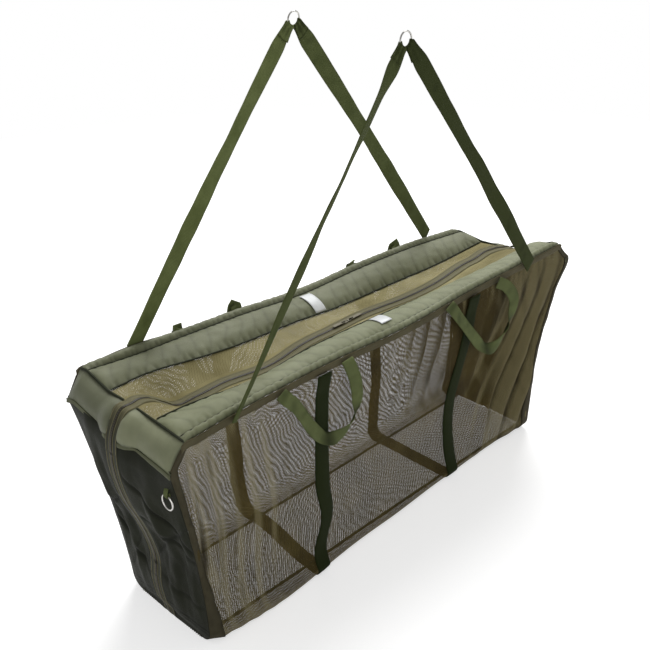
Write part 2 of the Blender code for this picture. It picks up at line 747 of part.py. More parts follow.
def make_slider(end_name, end, carrier):
    """A slider's body: a plate that straddles the coil, with the bridge that holds its pull."""
    half, plate = SLIDER_WIDTH / 2, SLIDER_PLATE
    channel = ZIP_COIL_WIDTH + GAP + GAP
    low = SLIDER_BASE - ZIP_COIL_THICKNESS / 2 + ZIP_TAPE_THICKNESS / 2
    section = (
        (-half, low), (-channel, low), (-channel, SLIDER_BASE), (channel, SLIDER_BASE),
        (channel, low), (half, low), (half, SLIDER_BASE + plate), (-half, SLIDER_BASE + plate),
    )
    centre = end * SLIDER_CENTRE
    reach = SLIDER_LENGTH / 2
    loops = [[Vector((x, y, z)) for y, z in section] for x in (centre - reach, centre + reach)]
    name = end_name + "_zip_slider"
    body = solid(name, loops, steel(name), carrier)
    foot = SLIDER_BASE + plate - GAP
    inner = BRIDGE_LENGTH / 2 - BRIDGE_BAR
    roof = SLIDER_BASE + plate + BRIDGE_CLEAR
    arch = (
        (-BRIDGE_LENGTH / 2, foot), (-inner, foot), (-inner, roof), (inner, roof),
        (inner, foot), (BRIDGE_LENGTH / 2, foot),
        (BRIDGE_LENGTH / 2, roof + BRIDGE_BAR), (-BRIDGE_LENGTH / 2, roof + BRIDGE_BAR),
    )
    sides = [
        [Vector((centre + x, y, z)) for x, z in arch]
        for y in (-BRIDGE_WIDTH / 2, BRIDGE_WIDTH / 2)
    ]
    bridge = solid(name + "_bridge", sides, steel(name))
    join(body, bridge)


def join(body, extra):
    """Adds a piece to a body as one solid and keeps the piece as a hidden guide."""
    union = body.modifiers.new("Join", "BOOLEAN")
    union.operation = "UNION"
    union.solver = "EXACT"
    union.object = extra
    bpy.data.collections["WeighSling"].objects.unlink(extra)
    bpy.data.collections["Cutters"].objects.link(extra)
    extra.hide_render = True
    extra.display_type = "WIRE"


def outline_curve(name, outlines, thickness):
    curve = bpy.data.curves.new(name, "CURVE")
    curve.dimensions = "2D"
    curve.fill_mode = "BOTH"
    curve.extrude = thickness / 2
    for outline in outlines:
        spline = curve.splines.new("POLY")
        spline.points.add(len(outline) - 1)
        spline.use_cyclic_u = True
        for point, (x, y) in zip(spline.points, outline):
            point.co = (x, y, 0, 1)
    return curve


def make_pull(end_name, end, carrier):
    """A flat pull whose eye hangs on the slider's bridge; it lies along the zip."""
    half = PULL_WIDTH / 2
    eye = PULL_EYE_WIDTH / 2
    corner = half / 2
    back = -PULL_BAR / 2
    outline = (
        (back, -half), (PULL_LENGTH - corner, -half), (PULL_LENGTH, -half + corner),
        (PULL_LENGTH, half - corner), (PULL_LENGTH - corner, half), (back, half),
    )
    hole = (
        (PULL_BAR / 2, -eye), (PULL_BAR / 2 + PULL_EYE_LENGTH, -eye),
        (PULL_BAR / 2 + PULL_EYE_LENGTH, eye), (PULL_BAR / 2, eye),
    )
    name = end_name + "_zip_pull"
    item = place_object(name, outline_curve(name, (outline, hole), PULL_THICKNESS), steel(name), carrier)
    item.location = (end * SLIDER_CENTRE, 0, PULL_AXIS_HEIGHT)
    item.rotation_euler = (0, 0, 0 if end > 0 else math.pi)


def make_zip_stop(end_name, end, carrier):
    low = CLOTH_FOOT + GAP
    high = low + STOP_LENGTH
    inner = corner_reach(high, zip_end_height(end) - PAD_DROP) + GAP
    loops = [
        [
            Vector((end * x, y, z))
            for x, y in (
                (inner, -STOP_WIDTH / 2), (inner + STOP_THICKNESS, -STOP_WIDTH / 2),
                (inner + STOP_THICKNESS, STOP_WIDTH / 2), (inner, STOP_WIDTH / 2),
            )
        ]
        for z in (low, high)
    ]
    name = end_name + "_zip_stop"
    solid(name, loops, steel(name), carrier)


# Straps, handles, rings

def loop_path(radius, tail, gap, thickness, steps=8):
    """A webbing's middle line round a wire, as the run out from the wire and the lift from the
    plain layer: round the wire, back down to the plain layer and along it to the sewn end."""
    points = []
    for i in range(steps + 1):
        angle = -math.pi / 2 + math.pi * i / steps
        points.append((-radius * math.cos(angle), radius + radius * math.sin(angle)))
    points.append((3 * radius, thickness + gap))
    points.append((3 * radius + tail, thickness + gap))
    return points


def strap_foot(side, end):
    """Where a strap limb leaves the float's edge."""
    x = end * STRAP_FOOT_SPACING / 2
    return Vector((x, side * STRAP_OFFSET, STRAP_FOOT + float_rise(side, x)))


def strap_point(side, end, run, across, foot_cut=False):
    """A point of a strap limb, as x and z, at a run from its ring's wire: gathered round the
    wire's arc at first, then flat and straight down to the float's edge."""
    foot = strap_foot(side, end).xz
    ring = Vector((0, RING_HEIGHT))
    grip = ring + Vector((end * math.sin(STRAP_GRIP_ANGLE), -math.cos(STRAP_GRIP_ANGLE))) * RING_RADIUS
    fall = (foot - grip).normalized()
    wide = Vector((-end * fall.y, end * fall.x)) * across * STRAP_WIDTH / 2
    if foot_cut:
        run = (foot.y - grip.y - wide.y) / fall.y
    plain = grip + fall * run + wide
    turn = STRAP_GRIP_ANGLE + across * STRAP_WRAP_ANGLE
    reach = RING_RADIUS + min(run, LOOP_RADIUS)
    wrapped = ring + Vector((end * math.sin(turn), -math.cos(turn))) * reach
    wrapped += fall * max(0, run - LOOP_RADIUS)
    share = min(1, max(0, run - LOOP_RADIUS) / STRAP_GATHER_LENGTH)
    return wrapped.lerp(plain, eased(share))


def make_strap_limb(side_name, side, end_name, end, carrier, columns=4):
    """One limb of a V, from the float's edge up to the ring, folded round it and sewn back."""
    length = (strap_foot(side, end).xz - Vector((0, RING_HEIGHT))).length
    plain_runs = (length, length - STRAP_WIDTH, STRAP_GATHER_LENGTH)
    runs = [(run, 0) for run in plain_runs]
    for share in GATHER_SHARES:
        runs.append((STRAP_GATHER_LENGTH * share, 0))
    runs += loop_path(LOOP_RADIUS, STRAP_TAIL_LENGTH, STRAP_TAIL_GAP, STRAP_THICKNESS)

    def place(column, row):
        run, lift = runs[row]
        point = strap_point(side, end, run, 2 * column / columns - 1, row == 0)
        return point.x, side * (STRAP_OFFSET - lift), point.y

    name = f"{end_name}_{side_name}_strap"
    sheet(name, columns, len(runs) - 1, place, STRAP_THICKNESS, webbing(name), carrier)


def make_ring(name, centre, turn, carrier):
    bpy.ops.mesh.primitive_torus_add(
        major_segments=28, minor_segments=8,
        major_radius=RING_RADIUS, minor_radius=RING_WIRE / 2,
        location=centre, rotation=turn,
    )
    item = bpy.context.object
    item.name = name
    item.data.name = name
    item.data.materials.append(steel(name))
    item.data.shade_smooth()
    for group in list(item.users_collection):
        group.objects.unlink(item)
    bpy.data.collections["WeighSling"].objects.link(item)
    bpy.context.view_layer.update()
    item.parent = carrier
    item.matrix_parent_inverse = carrier.matrix_world.inverted()


def make_handle(side_name, side, end_name, end, carrier, bend_steps=6):
    """A carry handle: a webbing that hangs in a U from the float's edge."""
    centre = end * BAND_SPACING / 2
    half = HANDLE_WIDTH / 2
    foot = Vector((HANDLE_FOOT_SPACING / 2, 0))
    bend = Vector((0, -HANDLE_DROP + HANDLE_BEND_RADIUS + half))
    away = foot - bend
    tilt = math.atan2(away.y, away.x) - math.acos(HANDLE_BEND_RADIUS / away.length)
    leg = []
    for i in range(bend_steps + 1):
        angle = between(-math.pi / 2, tilt, i / bend_steps)
        outward = Vector((math.cos(angle), math.sin(angle)))
        leg.append((bend + outward * HANDLE_BEND_RADIUS, outward * half))
    direction = (foot - leg[-1][0]).normalized()
    across = Vector((direction.y, -direction.x))
    leg.append((foot - direction * HANDLE_WIDTH, across * half))
    leg.append((foot, Vector((half / across.x, 0))))
    mirrored = [(Vector((-p.x, p.y)), Vector((w.x, -w.y)) * -1) for p, w in leg[:0:-1]]
    stations = []
    for point, reach in mirrored + leg:
        stations.append((
            Vector((centre + point.x, side * STRAP_OFFSET, wall_top(side, centre) + point.y)),
            Vector((reach.x, 0, reach.y)),
        ))
    name = f"{end_name}_{side_name}_handle"
    ribbon(name, stations, HANDLE_THICKNESS, webbing(name), carrier)


def make_corner_ring_tab(carrier):
    """The short webbing that hangs the small ring at the front near corner. It lies along the
    end wall, which leans out upward."""
    x, y, z = corner_ring_pivot()
    lean = (corner_reach(TAB_HEIGHT + TAB_LENGTH) - corner_reach(TAB_HEIGHT)) / TAB_LENGTH
    path = [(TAB_LENGTH, 0)]
    path += loop_path(TAB_LOOP_RADIUS, TAB_TAIL_LENGTH, STRAP_TAIL_GAP, TAB_THICKNESS)
    stations = []
    for run, lift in path:
        point = Vector((x + TAB_LOOP_RADIUS - lift - lean * max(0, run), y, z + run))
        stations.append((point, Vector((0, TAB_WIDTH / 2, 0))))
    ribbon("corner_ring_tab", stations, TAB_THICKNESS, webbing("corner_ring_tab"), carrier)


def corner_ring_pivot():
    """The middle of the wire where the small ring hangs in its tab."""
    reach = corner_reach(TAB_HEIGHT) + TAB_STANDOFF + TAB_LOOP_RADIUS
    return -reach, -(wall_offset(TAB_HEIGHT) - TAB_INSET), TAB_HEIGHT


def make_patch(side_name, side, carrier):
    """A blank pale patch sewn over the float's inner channel at the middle of its length."""
    count = len(STRIP_SHARES)
    lift = GAP + PATCH_THICKNESS / 2
    indices = [
        count - 1 + i for i in range(1, len(PANEL_SHARES))
        if PANEL_SHARES[i] >= PATCH_START_SHARE
    ]

    def place(column, row):
        x = PATCH_LENGTH * (column / 2 - 1 / 2)
        top, _, _, out = float_loop(side, x, 1.0)
        point = top[indices[row]] + out * lift
        return x, side * point.x, point.y

    name = side_name + "_blank_patch"
    sheet(name, 2, len(indices) - 1, place, PATCH_THICKNESS, pale_patch(name), carrier)


def build():
    start_scene()
    make_base_panel(None)
    for end_name, end in ENDS:
        make_base_band(end_name, end, None)
        make_zip_stop(end_name, end, None)
    halves = {}
    for side_name, side in SIDES:
        half = joint_empty(side_name + "_half_hinge", (0, side * BASE_SIDE, 0))
        halves[side_name] = half
        make_float(side_name, side, half)
        make_wall(side_name, side, half)
        make_top_binding(side_name, side, half)
        make_top_flap(side_name, side, half)
        make_zip_tape(side_name, side, half)
        make_patch(side_name, side, half)
        near_foot, far_foot = strap_foot(side, -1), strap_foot(side, 1)
        straps = joint_empty(side_name + "_strap_hinge", (near_foot + far_foot) / 2, half)
        lean = FRONT_STRAP_LEAN if side < 0 else BACK_STRAP_LEAN
        spin = joint_empty(side_name + "_ring_axis", (0, side * RING_OFFSET, RING_HEIGHT), straps)
        make_ring(side_name + "_lifting_ring", spin.matrix_world.translation, (math.pi / 2, 0, 0), spin)
        for end_name, end in ENDS:
            make_end_pad(end_name, end, side_name, side, half)
            make_end_wall(end_name, end, side_name, side, half)
            make_corner_tape(end_name, end, side_name, side, half)
            make_band(side_name, side, end_name, end, half)
            make_strap_limb(side_name, side, end_name, end, straps)
            point = (end * BAND_SPACING / 2, side * STRAP_OFFSET, wall_top(side, end * BAND_SPACING / 2))
            hinge = joint_empty(f"{end_name}_{side_name}_handle_hinge", point, half)
            make_handle(side_name, side, end_name, end, hinge)
        straps.rotation_mode = "QUATERNION"
        straps.rotation_quaternion = Quaternion((far_foot - near_foot).normalized(), side * lean)
    for end_name, end in ENDS:
        slide = joint_empty(end_name + "_slider_run", (end * SLIDER_CENTRE, 0, ZIP_HEIGHT), halves["front"])
        make_slider(end_name, end, slide)
        point = (end * SLIDER_CENTRE, 0, PULL_AXIS_HEIGHT)
        hinge = joint_empty(end_name + "_pull_hinge", point, slide)
        make_pull(end_name, end, hinge)
    make_corner_ring_tab(halves["front"])
    x, y, z = corner_ring_pivot()
    hinge = joint_empty("corner_ring_hinge", (x, y, z), halves["front"])
    make_ring("corner_ring", (x, y, z - RING_RADIUS), (0, math.pi / 2, 0), hinge)


build()
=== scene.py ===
import math

import bmesh
import bpy
from mathutils import Matrix, Vector, noise


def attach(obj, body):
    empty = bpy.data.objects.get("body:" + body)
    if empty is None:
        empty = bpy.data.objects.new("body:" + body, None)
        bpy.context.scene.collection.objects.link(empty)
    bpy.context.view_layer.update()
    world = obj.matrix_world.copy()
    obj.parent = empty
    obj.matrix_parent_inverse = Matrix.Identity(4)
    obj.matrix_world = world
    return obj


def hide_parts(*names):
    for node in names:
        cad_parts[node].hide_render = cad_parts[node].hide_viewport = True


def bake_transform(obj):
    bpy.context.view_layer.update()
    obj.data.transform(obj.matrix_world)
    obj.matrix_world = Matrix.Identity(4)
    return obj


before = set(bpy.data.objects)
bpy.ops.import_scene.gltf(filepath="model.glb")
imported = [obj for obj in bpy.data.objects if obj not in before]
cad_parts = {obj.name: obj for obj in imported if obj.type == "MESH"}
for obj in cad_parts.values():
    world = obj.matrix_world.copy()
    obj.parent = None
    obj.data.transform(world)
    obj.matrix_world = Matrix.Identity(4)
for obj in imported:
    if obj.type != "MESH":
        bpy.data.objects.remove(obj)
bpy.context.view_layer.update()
print("frame loaded:", len(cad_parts), "nodes")

sides = {"front": -1, "back": 1}
ends = {"near": -1, "far": 1}


# Small helpers

def linear(hexColour):
    parts = [int(hexColour[i:i + 2], 16) / 255 for i in (1, 3, 5)]
    return [c / 12.92 if c <= 0.04045 else ((c + 0.055) / 1.055) ** 2.4 for c in parts] + [1.0]


def mix(low, high, share):
    return low + (high - low) * share


def ease(share):
    share = min(1.0, max(0.0, share))
    return share * share * (3 - 2 * share)


def hump(value, centre, width):
    return math.exp(-((value - centre) / width) ** 2)


def pillow(share, power=2.4):
    return 1 - abs(2 * share - 1) ** power


def bow(share):
    return math.sin(math.pi * share)


def rough(x, y, seed):
    return noise.noise(Vector((x, y, seed)))  # about -1 to 1, the same on every run


def metres(rows):  # a table in millimetres
    return [tuple(value / 1000 for value in row) for row in rows]


def follow(points, x):  # the height at x on a smooth line through a few (x, height) points
    if x <= points[0][0]:
        return points[0][1]
    if x >= points[-1][0]:
        return points[-1][1]
    i = next(k for k in range(1, len(points)) if x <= points[k][0])
    step = points[i][0] - points[i - 1][0]
    t = (x - points[i - 1][0]) / step

    def slope(k):
        a, b = points[max(0, k - 1)], points[min(len(points) - 1, k + 1)]
        return (b[1] - a[1]) / (b[0] - a[0])

    return ((2 * t ** 3 - 3 * t ** 2 + 1) * points[i - 1][1] + (t ** 3 - 2 * t ** 2 + t) * step * slope(i - 1)
            + (3 * t ** 2 - 2 * t ** 3) * points[i][1] + (t ** 3 - t ** 2) * step * slope(i))


def smoothPath(points, spacing):  # an evenly spaced smooth line through a few points in space
    fine = []
    last = len(points) - 1
    for i in range(last):
        a, b = points[max(0, i - 1)], points[i]
        c, d = points[i + 1], points[min(last, i + 2)]
        for k in range(24):
            t = k / 24
            fine.append(0.5 * (2 * b + (c - a) * t + (2 * a - 5 * b + 4 * c - d) * t ** 2
                               + (3 * b - a - 3 * c + d) * t ** 3))
    fine.append(points[-1].copy())
    run = [0.0]
    for i in range(1, len(fine)):
        run.append(run[-1] + (fine[i] - fine[i - 1]).length)
    count = max(2, round(run[-1] / spacing))
    line, k = [], 0
    for i in range(count + 1):
        want = run[-1] * i / count
        while k < len(run) - 2 and run[k + 1] < want:
            k += 1
        share = (want - run[k]) / max(1e-9, run[k + 1] - run[k])
        line.append(fine[k].lerp(fine[k + 1], share))
    return line


def runAt(line, i):  # the way that a line goes at its point i
    return line[min(len(line) - 1, i + 1)] - line[max(0, i - 1)]


# Materials

def addNode(tree, kind, inputs=None, **settings):
    # an input is a plain value, a "#" colour, or the node or socket that feeds it
    node = tree.nodes.new("ShaderNode" + kind)
    for key, value in settings.items():
        setattr(node, key, value)
    for key, value in (inputs or {}).items():
        if isinstance(value, bpy.types.Node):
            value = next(socket for socket in value.outputs if socket.enabled)
        if isinstance(value, bpy.types.NodeSocket):
            tree.links.new(value, node.inputs[key])
        else:
            node.inputs[key].default_value = linear(value) if isinstance(value, str) else value
    return node


def startMaterial(name, colour, roughness, metallic=0.0, **more):
    material = bpy.data.materials.new(name)
    material.use_nodes = True
    shader = material.node_tree.nodes["Principled BSDF"]
    values = {"Base Color": linear(colour), "Roughness": roughness, "Metallic": metallic}
    values.update({key.replace("_", " "): value for key, value in more.items()})
    for key, value in values.items():
        shader.inputs[key].default_value = value
    return material, material.node_tree, shader


def dress(tree, shader, colour, height=None, distance=0.0004, strength=0.6):  # colour and fine relief
    tree.links.new(colour.outputs[2], shader.inputs["Base Color"])
    if height:
        lift = addNode(tree, "Bump", {"Height": height, "Distance": distance, "Strength": strength})
        tree.links.new(lift.outputs[0], shader.inputs["Normal"])


def clouds(tree, scale, low=None, high=None, at=None, bottom=0.0, top=1.0, **detail):
    # soft blotches over the piece, with their contrast stretched from low...high to bottom...top
    at = at or addNode(tree, "TexCoord").outputs["Object"]
    cloud = addNode(tree, "TexNoise", {0: at, "Scale": scale, **detail})
    return addNode(tree, "MapRange", {0: cloud, 1: low, 2: high, 3: bottom, 4: top}) if high else cloud


def threads(tree, across, along):  # a plain weave's height from the piece's own UV, which is in metres
    uv = addNode(tree, "UVMap", uv_map="UVMap")
    part = addNode(tree, "SeparateXYZ", {0: uv})
    waves = []
    for socket, spacing in zip(part.outputs, (across, along)):
        turn = addNode(tree, "Math", {0: socket, 1: 2 * math.pi / spacing}, operation="MULTIPLY")
        waves.append(addNode(tree, "Math", {0: turn}, operation="SINE"))
    both = addNode(tree, "Math", {0: waves[0], 1: waves[1]}, operation="MULTIPLY")
    return addNode(tree, "Math", {0: both, 1: 0.5, 2: 0.5}, operation="MULTIPLY_ADD")


def paintedFoldShade(tree, colour, dark, depth, start=0.0):
    # painted shade in the folds, creases and seams, from the mesh's own "fold" attribute
    fold = addNode(tree, "Attribute", attribute_name="fold").outputs["Fac"]
    deep = [c * depth for c in linear(dark)[:3]] + [1.0]
    share = addNode(tree, "MapRange", {0: fold, 1: start, 2: 1.0})
    return addNode(tree, "Mix", {0: share, 6: colour, 7: deep}, data_type="RGBA")


def tintedCloth(name, light, dark, roughness, threadMm, bump, blotch=9.0, gloss=0.08, **more):
    material, tree, shader = startMaterial(name, light, roughness, Specular_IOR_Level=gloss, **more)
    height = threads(tree, threadMm / 1000, threadMm / 1000)
    fade = clouds(tree, blotch, 0.3, 0.7, Detail=4.0, Roughness=0.6)
    weaveTint = addNode(tree, "Math", {0: height, 1: 0.35, 2: fade}, operation="MULTIPLY_ADD")
    colour = addNode(tree, "Mix", {0: weaveTint, 6: dark, 7: light}, data_type="RGBA")
    dress(tree, shader, paintedFoldShade(tree, colour, dark, 0.3), height, bump)
    return material


def oxford(name, light, dark):
    # PU-coated polyester oxford, satin. Thread 0.6 mm, drawn 1.8 mm so that it shows
    return tintedCloth("coated_oxford_" + name, light, dark, 0.5, 1.8, 0.0004, gloss=0.22, Sheen_Weight=0.06)


# the float covers, and the same cloth on the end pads, a shade browner; one cloth, with the front half's copies painted
# lighter and the back half's darker: painted light and shade between the halves
floatOxford = {"front": oxford("grey_green_painted_lighter", "#8D9173", "#717454"),
               "back": oxford("grey_green", "#7B7E64", "#626549")}
padOxford = {"front": oxford("olive_painted_lighter", "#8F9275", "#797D61"), "back": oxford("olive", "#73765F", "#62654E")}
# plain dark polyester of the end walls, matt
endCloth = tintedCloth("plain_polyester_dark_olive", "#27291E", "#1E2017", 0.6, 2.0, 0.0004, 6.0)
# folded polyester binding, brown with wear
bindingCloth = tintedCloth("folded_binding_brown_olive", "#615B45", "#4E4936", 0.7, 2.4, 0.0005, 14.0)
# the same binding down the corners, coloured darker
cornerCloth = tintedCloth("folded_binding_dark_brown", "#4E4938", "#3C382A", 0.7, 2.4, 0.0005, 14.0)
# bonded polyester thread, paler than the cloth
stitchThread = tintedCloth("bonded_thread_pale_olive", "#8E8868", "#767155", 0.6, 3.0, 0.0003, 60.0)
# piping round the floats' inner edge, and the cords in the ridge, pad and base seams, dark and slightly glossy; their
# dark colour is partly the piping's own and partly painted shade along the seams
pipingWithSeamShade = tintedCloth("piping_dark_olive_seam_shade", "#383B2D", "#2C2F23", 0.55, 2.0, 0.0004)
# polyester hem along the pads' lower edges
hemCloth = tintedCloth("rolled_hem_olive", "#6A6D55", "#565943", 0.55, 2.0, 0.0004)


def zipCloth():
    # woven polyester tape, tan olive, painted dark where it runs down the ends: painted shade on the bag's ends
    material, tree, shader = startMaterial("zip_tape_olive_tan", "#6E6A4E", 0.62, Specular_IOR_Level=0.2)
    height = threads(tree, 0.002, 0.002)
    spot = addNode(tree, "SeparateXYZ", {0: addNode(tree, "TexCoord").outputs["Object"]})
    far = addNode(tree, "Math", {0: spot}, operation="ABSOLUTE")
    low = addNode(tree, "MapRange", {0: far, 1: 0.625, 2: 0.668})
    down = addNode(tree, "MapRange", {0: spot.outputs[2], 1: 0.5, 2: 0.46})
    # painted shade: darker beyond the pads and low down the bag's ends
    dark = addNode(tree, "Math", {0: low, 1: down}, operation="MAXIMUM")
    top = addNode(tree, "Mix", {0: height, 6: "#5F5B40", 7: "#757154"}, data_type="RGBA")
    dress(tree, shader, addNode(tree, "Mix", {0: dark, 6: top, 7: "#37382B"}, data_type="RGBA"), height)
    return material


tapeCloth = zipCloth()


def polyWebbing(name, light, dark):
    # flat polypropylene webbing: herringbone ribs of 1.5 mm, drawn 3 mm
    material, tree, shader = startMaterial("polypropylene_webbing_" + name, light, 0.75, Specular_IOR_Level=0.06)
    height = threads(tree, 0.005, 0.003)
    fade = clouds(tree, 26.0, 0.3, 0.7, bottom=0.1, top=0.7, Detail=3.0)
    rib = addNode(tree, "Math", {0: height, 1: 0.45, 2: fade}, operation="MULTIPLY_ADD", use_clamp=True)
    colour = addNode(tree, "Mix", {0: rib, 6: dark, 7: light}, data_type="RGBA")
    dress(tree, shader, paintedFoldShade(tree, colour, dark, 0.36), height, 0.0007, 0.8)
    return material


strapWebbing = polyWebbing("olive", "#7C8656", "#5E683C")
handleWebbing = polyWebbing("bright_olive", "#6E774C", "#50573A")
# the body bands' webbing: its own dark olive, darkened further as painted shade for the walls they hang on
bodyWebbingShaded = polyWebbing("dark_olive", "#252C17", "#242B12")


def openMesh(name, threadLight, threadDark, denseLitColour, pitchMm, holeShare, hem=0.0):
    # warp-knit polyester net, soft and matt. The real holes are 2.5 mm; they are drawn larger so that they show
    material, tree, shader = startMaterial(name, threadLight, 0.8, Specular_IOR_Level=0.15)
    uv = addNode(tree, "UVMap", uv_map="UVMap")
    bent = clouds(tree, 14.0, at=uv, Detail=1.0)
    wobble = addNode(tree, "VectorMath", {0: bent.outputs[1], 1: (0.5, 0.5, 0.5)}, operation="SUBTRACT")
    small = addNode(tree, "VectorMath", {0: wobble, 3: 0.006}, operation="SCALE")
    moved = addNode(tree, "VectorMath", {0: uv, 1: small}, operation="ADD")
    part = addNode(tree, "SeparateXYZ", {0: moved})
    half = (1 - math.sqrt(holeShare)) / 2
    gaps = []
    for slant in ("ADD", "SUBTRACT"):  # two sets of threads that cross on the slant
        way = addNode(tree, "Math", {0: part, 1: part.outputs[1]}, operation=slant)
        count = addNode(tree, "Math", {0: way, 1: 1000 / pitchMm}, operation="MULTIPLY")
        ply = addNode(tree, "Math", {0: count, 1: 0.5}, operation="PINGPONG")
        gaps.append(addNode(tree, "MapRange", {0: ply, 1: half - 0.04, 2: half + 0.04}))
    hole = addNode(tree, "Math", {0: gaps[0], 1: gaps[1]}, operation="MULTIPLY")
    solid = addNode(tree, "Math", {0: 1.0, 1: hole}, operation="SUBTRACT")
    # the net closes up where it is gathered in a fold
    fold = addNode(tree, "Attribute", attribute_name="fold").outputs["Fac"]
    closed = addNode(tree, "Math", {0: fold, 1: 0.9}, operation="MULTIPLY", use_clamp=True)
    alpha = addNode(tree, "Math", {0: solid, 1: closed}, operation="MAXIMUM")
    if hem:  # a doubled hem along one long edge has no holes
        edge = addNode(tree, "SeparateXYZ", {0: uv})
        inHem = addNode(tree, "Math", {0: edge.outputs[1], 1: hem}, operation="LESS_THAN")
        alpha = addNode(tree, "Math", {0: alpha, 1: inHem}, operation="MAXIMUM")
    tree.links.new(alpha.outputs[0], shader.inputs["Alpha"])
    shade = clouds(tree, 9.0, 0.35, 0.65, at=uv, Detail=3.0)
    colour = addNode(tree, "Mix", {0: shade, 6: threadDark, 7: threadLight}, data_type="RGBA")
    # painted highlight: where the fold mark is 0.1 to 0.4 the net is drawn in the paler dense colour, most at the far
    # corner; from 0.45 up it is painted darker, painted shade in the folds
    drawn = addNode(tree, "MapRange", {0: fold, 1: 0.1, 2: 0.4})
    paler = addNode(tree, "Mix", {0: drawn, 6: colour, 7: denseLitColour}, data_type="RGBA")
    dress(tree, shader, paintedFoldShade(tree, paler, threadDark, 0.5, 0.45))
    return material


# the walls' net; its dense colour is the painted highlight
wallNet = openMesh("knitted_net_brown_grey", "#574B27", "#42381C", "#7A7150", 3.8, 0.31)
# the top flaps' net, painted paler than the walls' net: painted light where it lies on top
flapNetPaintedLit = openMesh("knitted_net_olive_tan", "#978F67", "#7C744E", "#99916B", 4.8, 0.08, hem=0.01)
# the base's net, its threads painted lighter against the shade that the bag casts on the floor under it
baseNetPaintedLighter = openMesh("knitted_net_brown", "#665A34", "#4A4124", "#665A34", 6.5, 0.42)


def platedSteel():
    # nickel-plated steel, polished, with fine rub marks
    material, tree, shader = startMaterial("nickel_plated_steel", "#C9C7C2", 0.22, 1.0)
    marks = clouds(tree, 400.0, 0.3, 0.7, bottom=0.16, top=0.36, Detail=3.0)
    tree.links.new(marks.outputs[0], shader.inputs["Roughness"])
    return material


def agedZinc():
    # zinc alloy die casting with an aged brass finish: sliders, pulls and stops
    material, tree, shader = startMaterial("aged_zinc_casting", "#6F6A58", 0.5, 0.6)
    marks = clouds(tree, 260.0, Detail=3.0)
    dress(tree, shader, addNode(tree, "Mix", {0: marks, 6: "#37342A", 7: "#6A6552"}, data_type="RGBA"))
    return material


def coilNylon():
    # moulded nylon coil, dark olive, semi-gloss; teeth every 1.6 mm, drawn 4.8 mm
    material, tree, shader = startMaterial("nylon_coil_dark", "#2F2B20", 0.4)
    part = addNode(tree, "SeparateXYZ", {0: addNode(tree, "UVMap", uv_map="UVMap")})
    turn = addNode(tree, "Math", {0: part.outputs[1], 1: 2 * math.pi / 0.0048}, operation="MULTIPLY")
    wave = addNode(tree, "Math", {0: turn}, operation="SINE")
    level = addNode(tree, "MapRange", {0: wave, 1: -1.0, 2: 1.0})
    dress(tree, shader, addNode(tree, "Mix", {0: level, 6: "#1E1B14", 7: "#4A4432"}, data_type="RGBA"))
    return material


def brightTape():
    # glass-bead reflective tape, silver-white, with a fine bead sparkle and soft creases
    material, tree, shader = startMaterial("glass_bead_reflective_tape", "#C6C8C9", 0.38)
    bead = addNode(tree, "TexVoronoi", {0: addNode(tree, "TexCoord").outputs["Object"], "Scale": 700.0})
    marks = clouds(tree, 60.0, Detail=3.0)
    colour = addNode(tree, "Mix", {0: marks, 6: "#C6C9CA", 7: "#E6E8E8"}, data_type="RGBA")
    dress(tree, shader, colour, bead, 0.0002, 0.4)
    return material


steel, zinc, coil, patchTape = platedSteel(), agedZinc(), coilNylon(), brightTape()


# Making pieces

def place(mesh, material, body, nodes=(), thickness=0.0):
    piece = bpy.data.objects.new(mesh.name, mesh)
    bpy.context.scene.collection.objects.link(piece)
    mesh.materials.append(material)
    mesh.shade_smooth()
    if body:
        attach(piece, body)
    if nodes:
        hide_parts(*nodes)
    if thickness:
        wall = piece.modifiers.new("Thickness", "SOLIDIFY")
        wall.thickness = thickness
        wall.offset = 0.0
    return piece


def leanWithHalf(piece):  # its placement is baked into its mesh
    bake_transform(piece)


def gridMesh(name, columns, rows, spot, size, closed=False, mark=None):
    # a grid whose points are moved to spot(u, v), with UVs in metres of the real cloth. mark(u, v), 0 to 1, is kept as
    # the "fold" attribute: how deep in a fold the cloth lies, which the materials draw as painted shade, and on some
    # pieces a painted shade or highlight of its own
    bm = bmesh.new()
    uvs = bm.loops.layers.uv.new("UVMap")
    deep = bm.verts.layers.float.new("fold")
    bmesh.ops.create_grid(bm, x_segments=columns, y_segments=rows, size=1, calc_uvs=True)
    for face in bm.faces:
        for loop in face.loops:
            loop[uvs].uv = (loop[uvs].uv.x * size[0], loop[uvs].uv.y * size[1])
    for vert in bm.verts:
        u = round((vert.co.x + 1) / 2 * columns) / columns
        v = round((vert.co.y + 1) / 2 * rows) / rows
        vert.co = Vector(spot(u, v))
        vert[deep] = min(1.0, max(0.0, mark(u, v))) if mark else 0.0
    if closed:
        bmesh.ops.remove_doubles(bm, verts=bm.verts, dist=0.00002)
        bmesh.ops.recalc_face_normals(bm, faces=bm.faces)
    mesh = bpy.data.meshes.new(name)
    bm.to_mesh(mesh)
    bm.free()
    return mesh


def cushion(piece):  # padded and finer, while the sewn edges stay edges
    bm = bmesh.new()
    bm.from_mesh(piece.data)
    crease = bm.edges.layers.float.new("crease_edge")
    for edge in bm.edges:
        if edge.calc_face_angle(0) > math.radians(72):
            edge[crease] = 1.0
            edge.smooth = False
    bm.to_mesh(piece.data)
    bm.free()
    finer = piece.modifiers.new("Smooth", "SUBSURF")
    finer.levels = finer.render_levels = 1


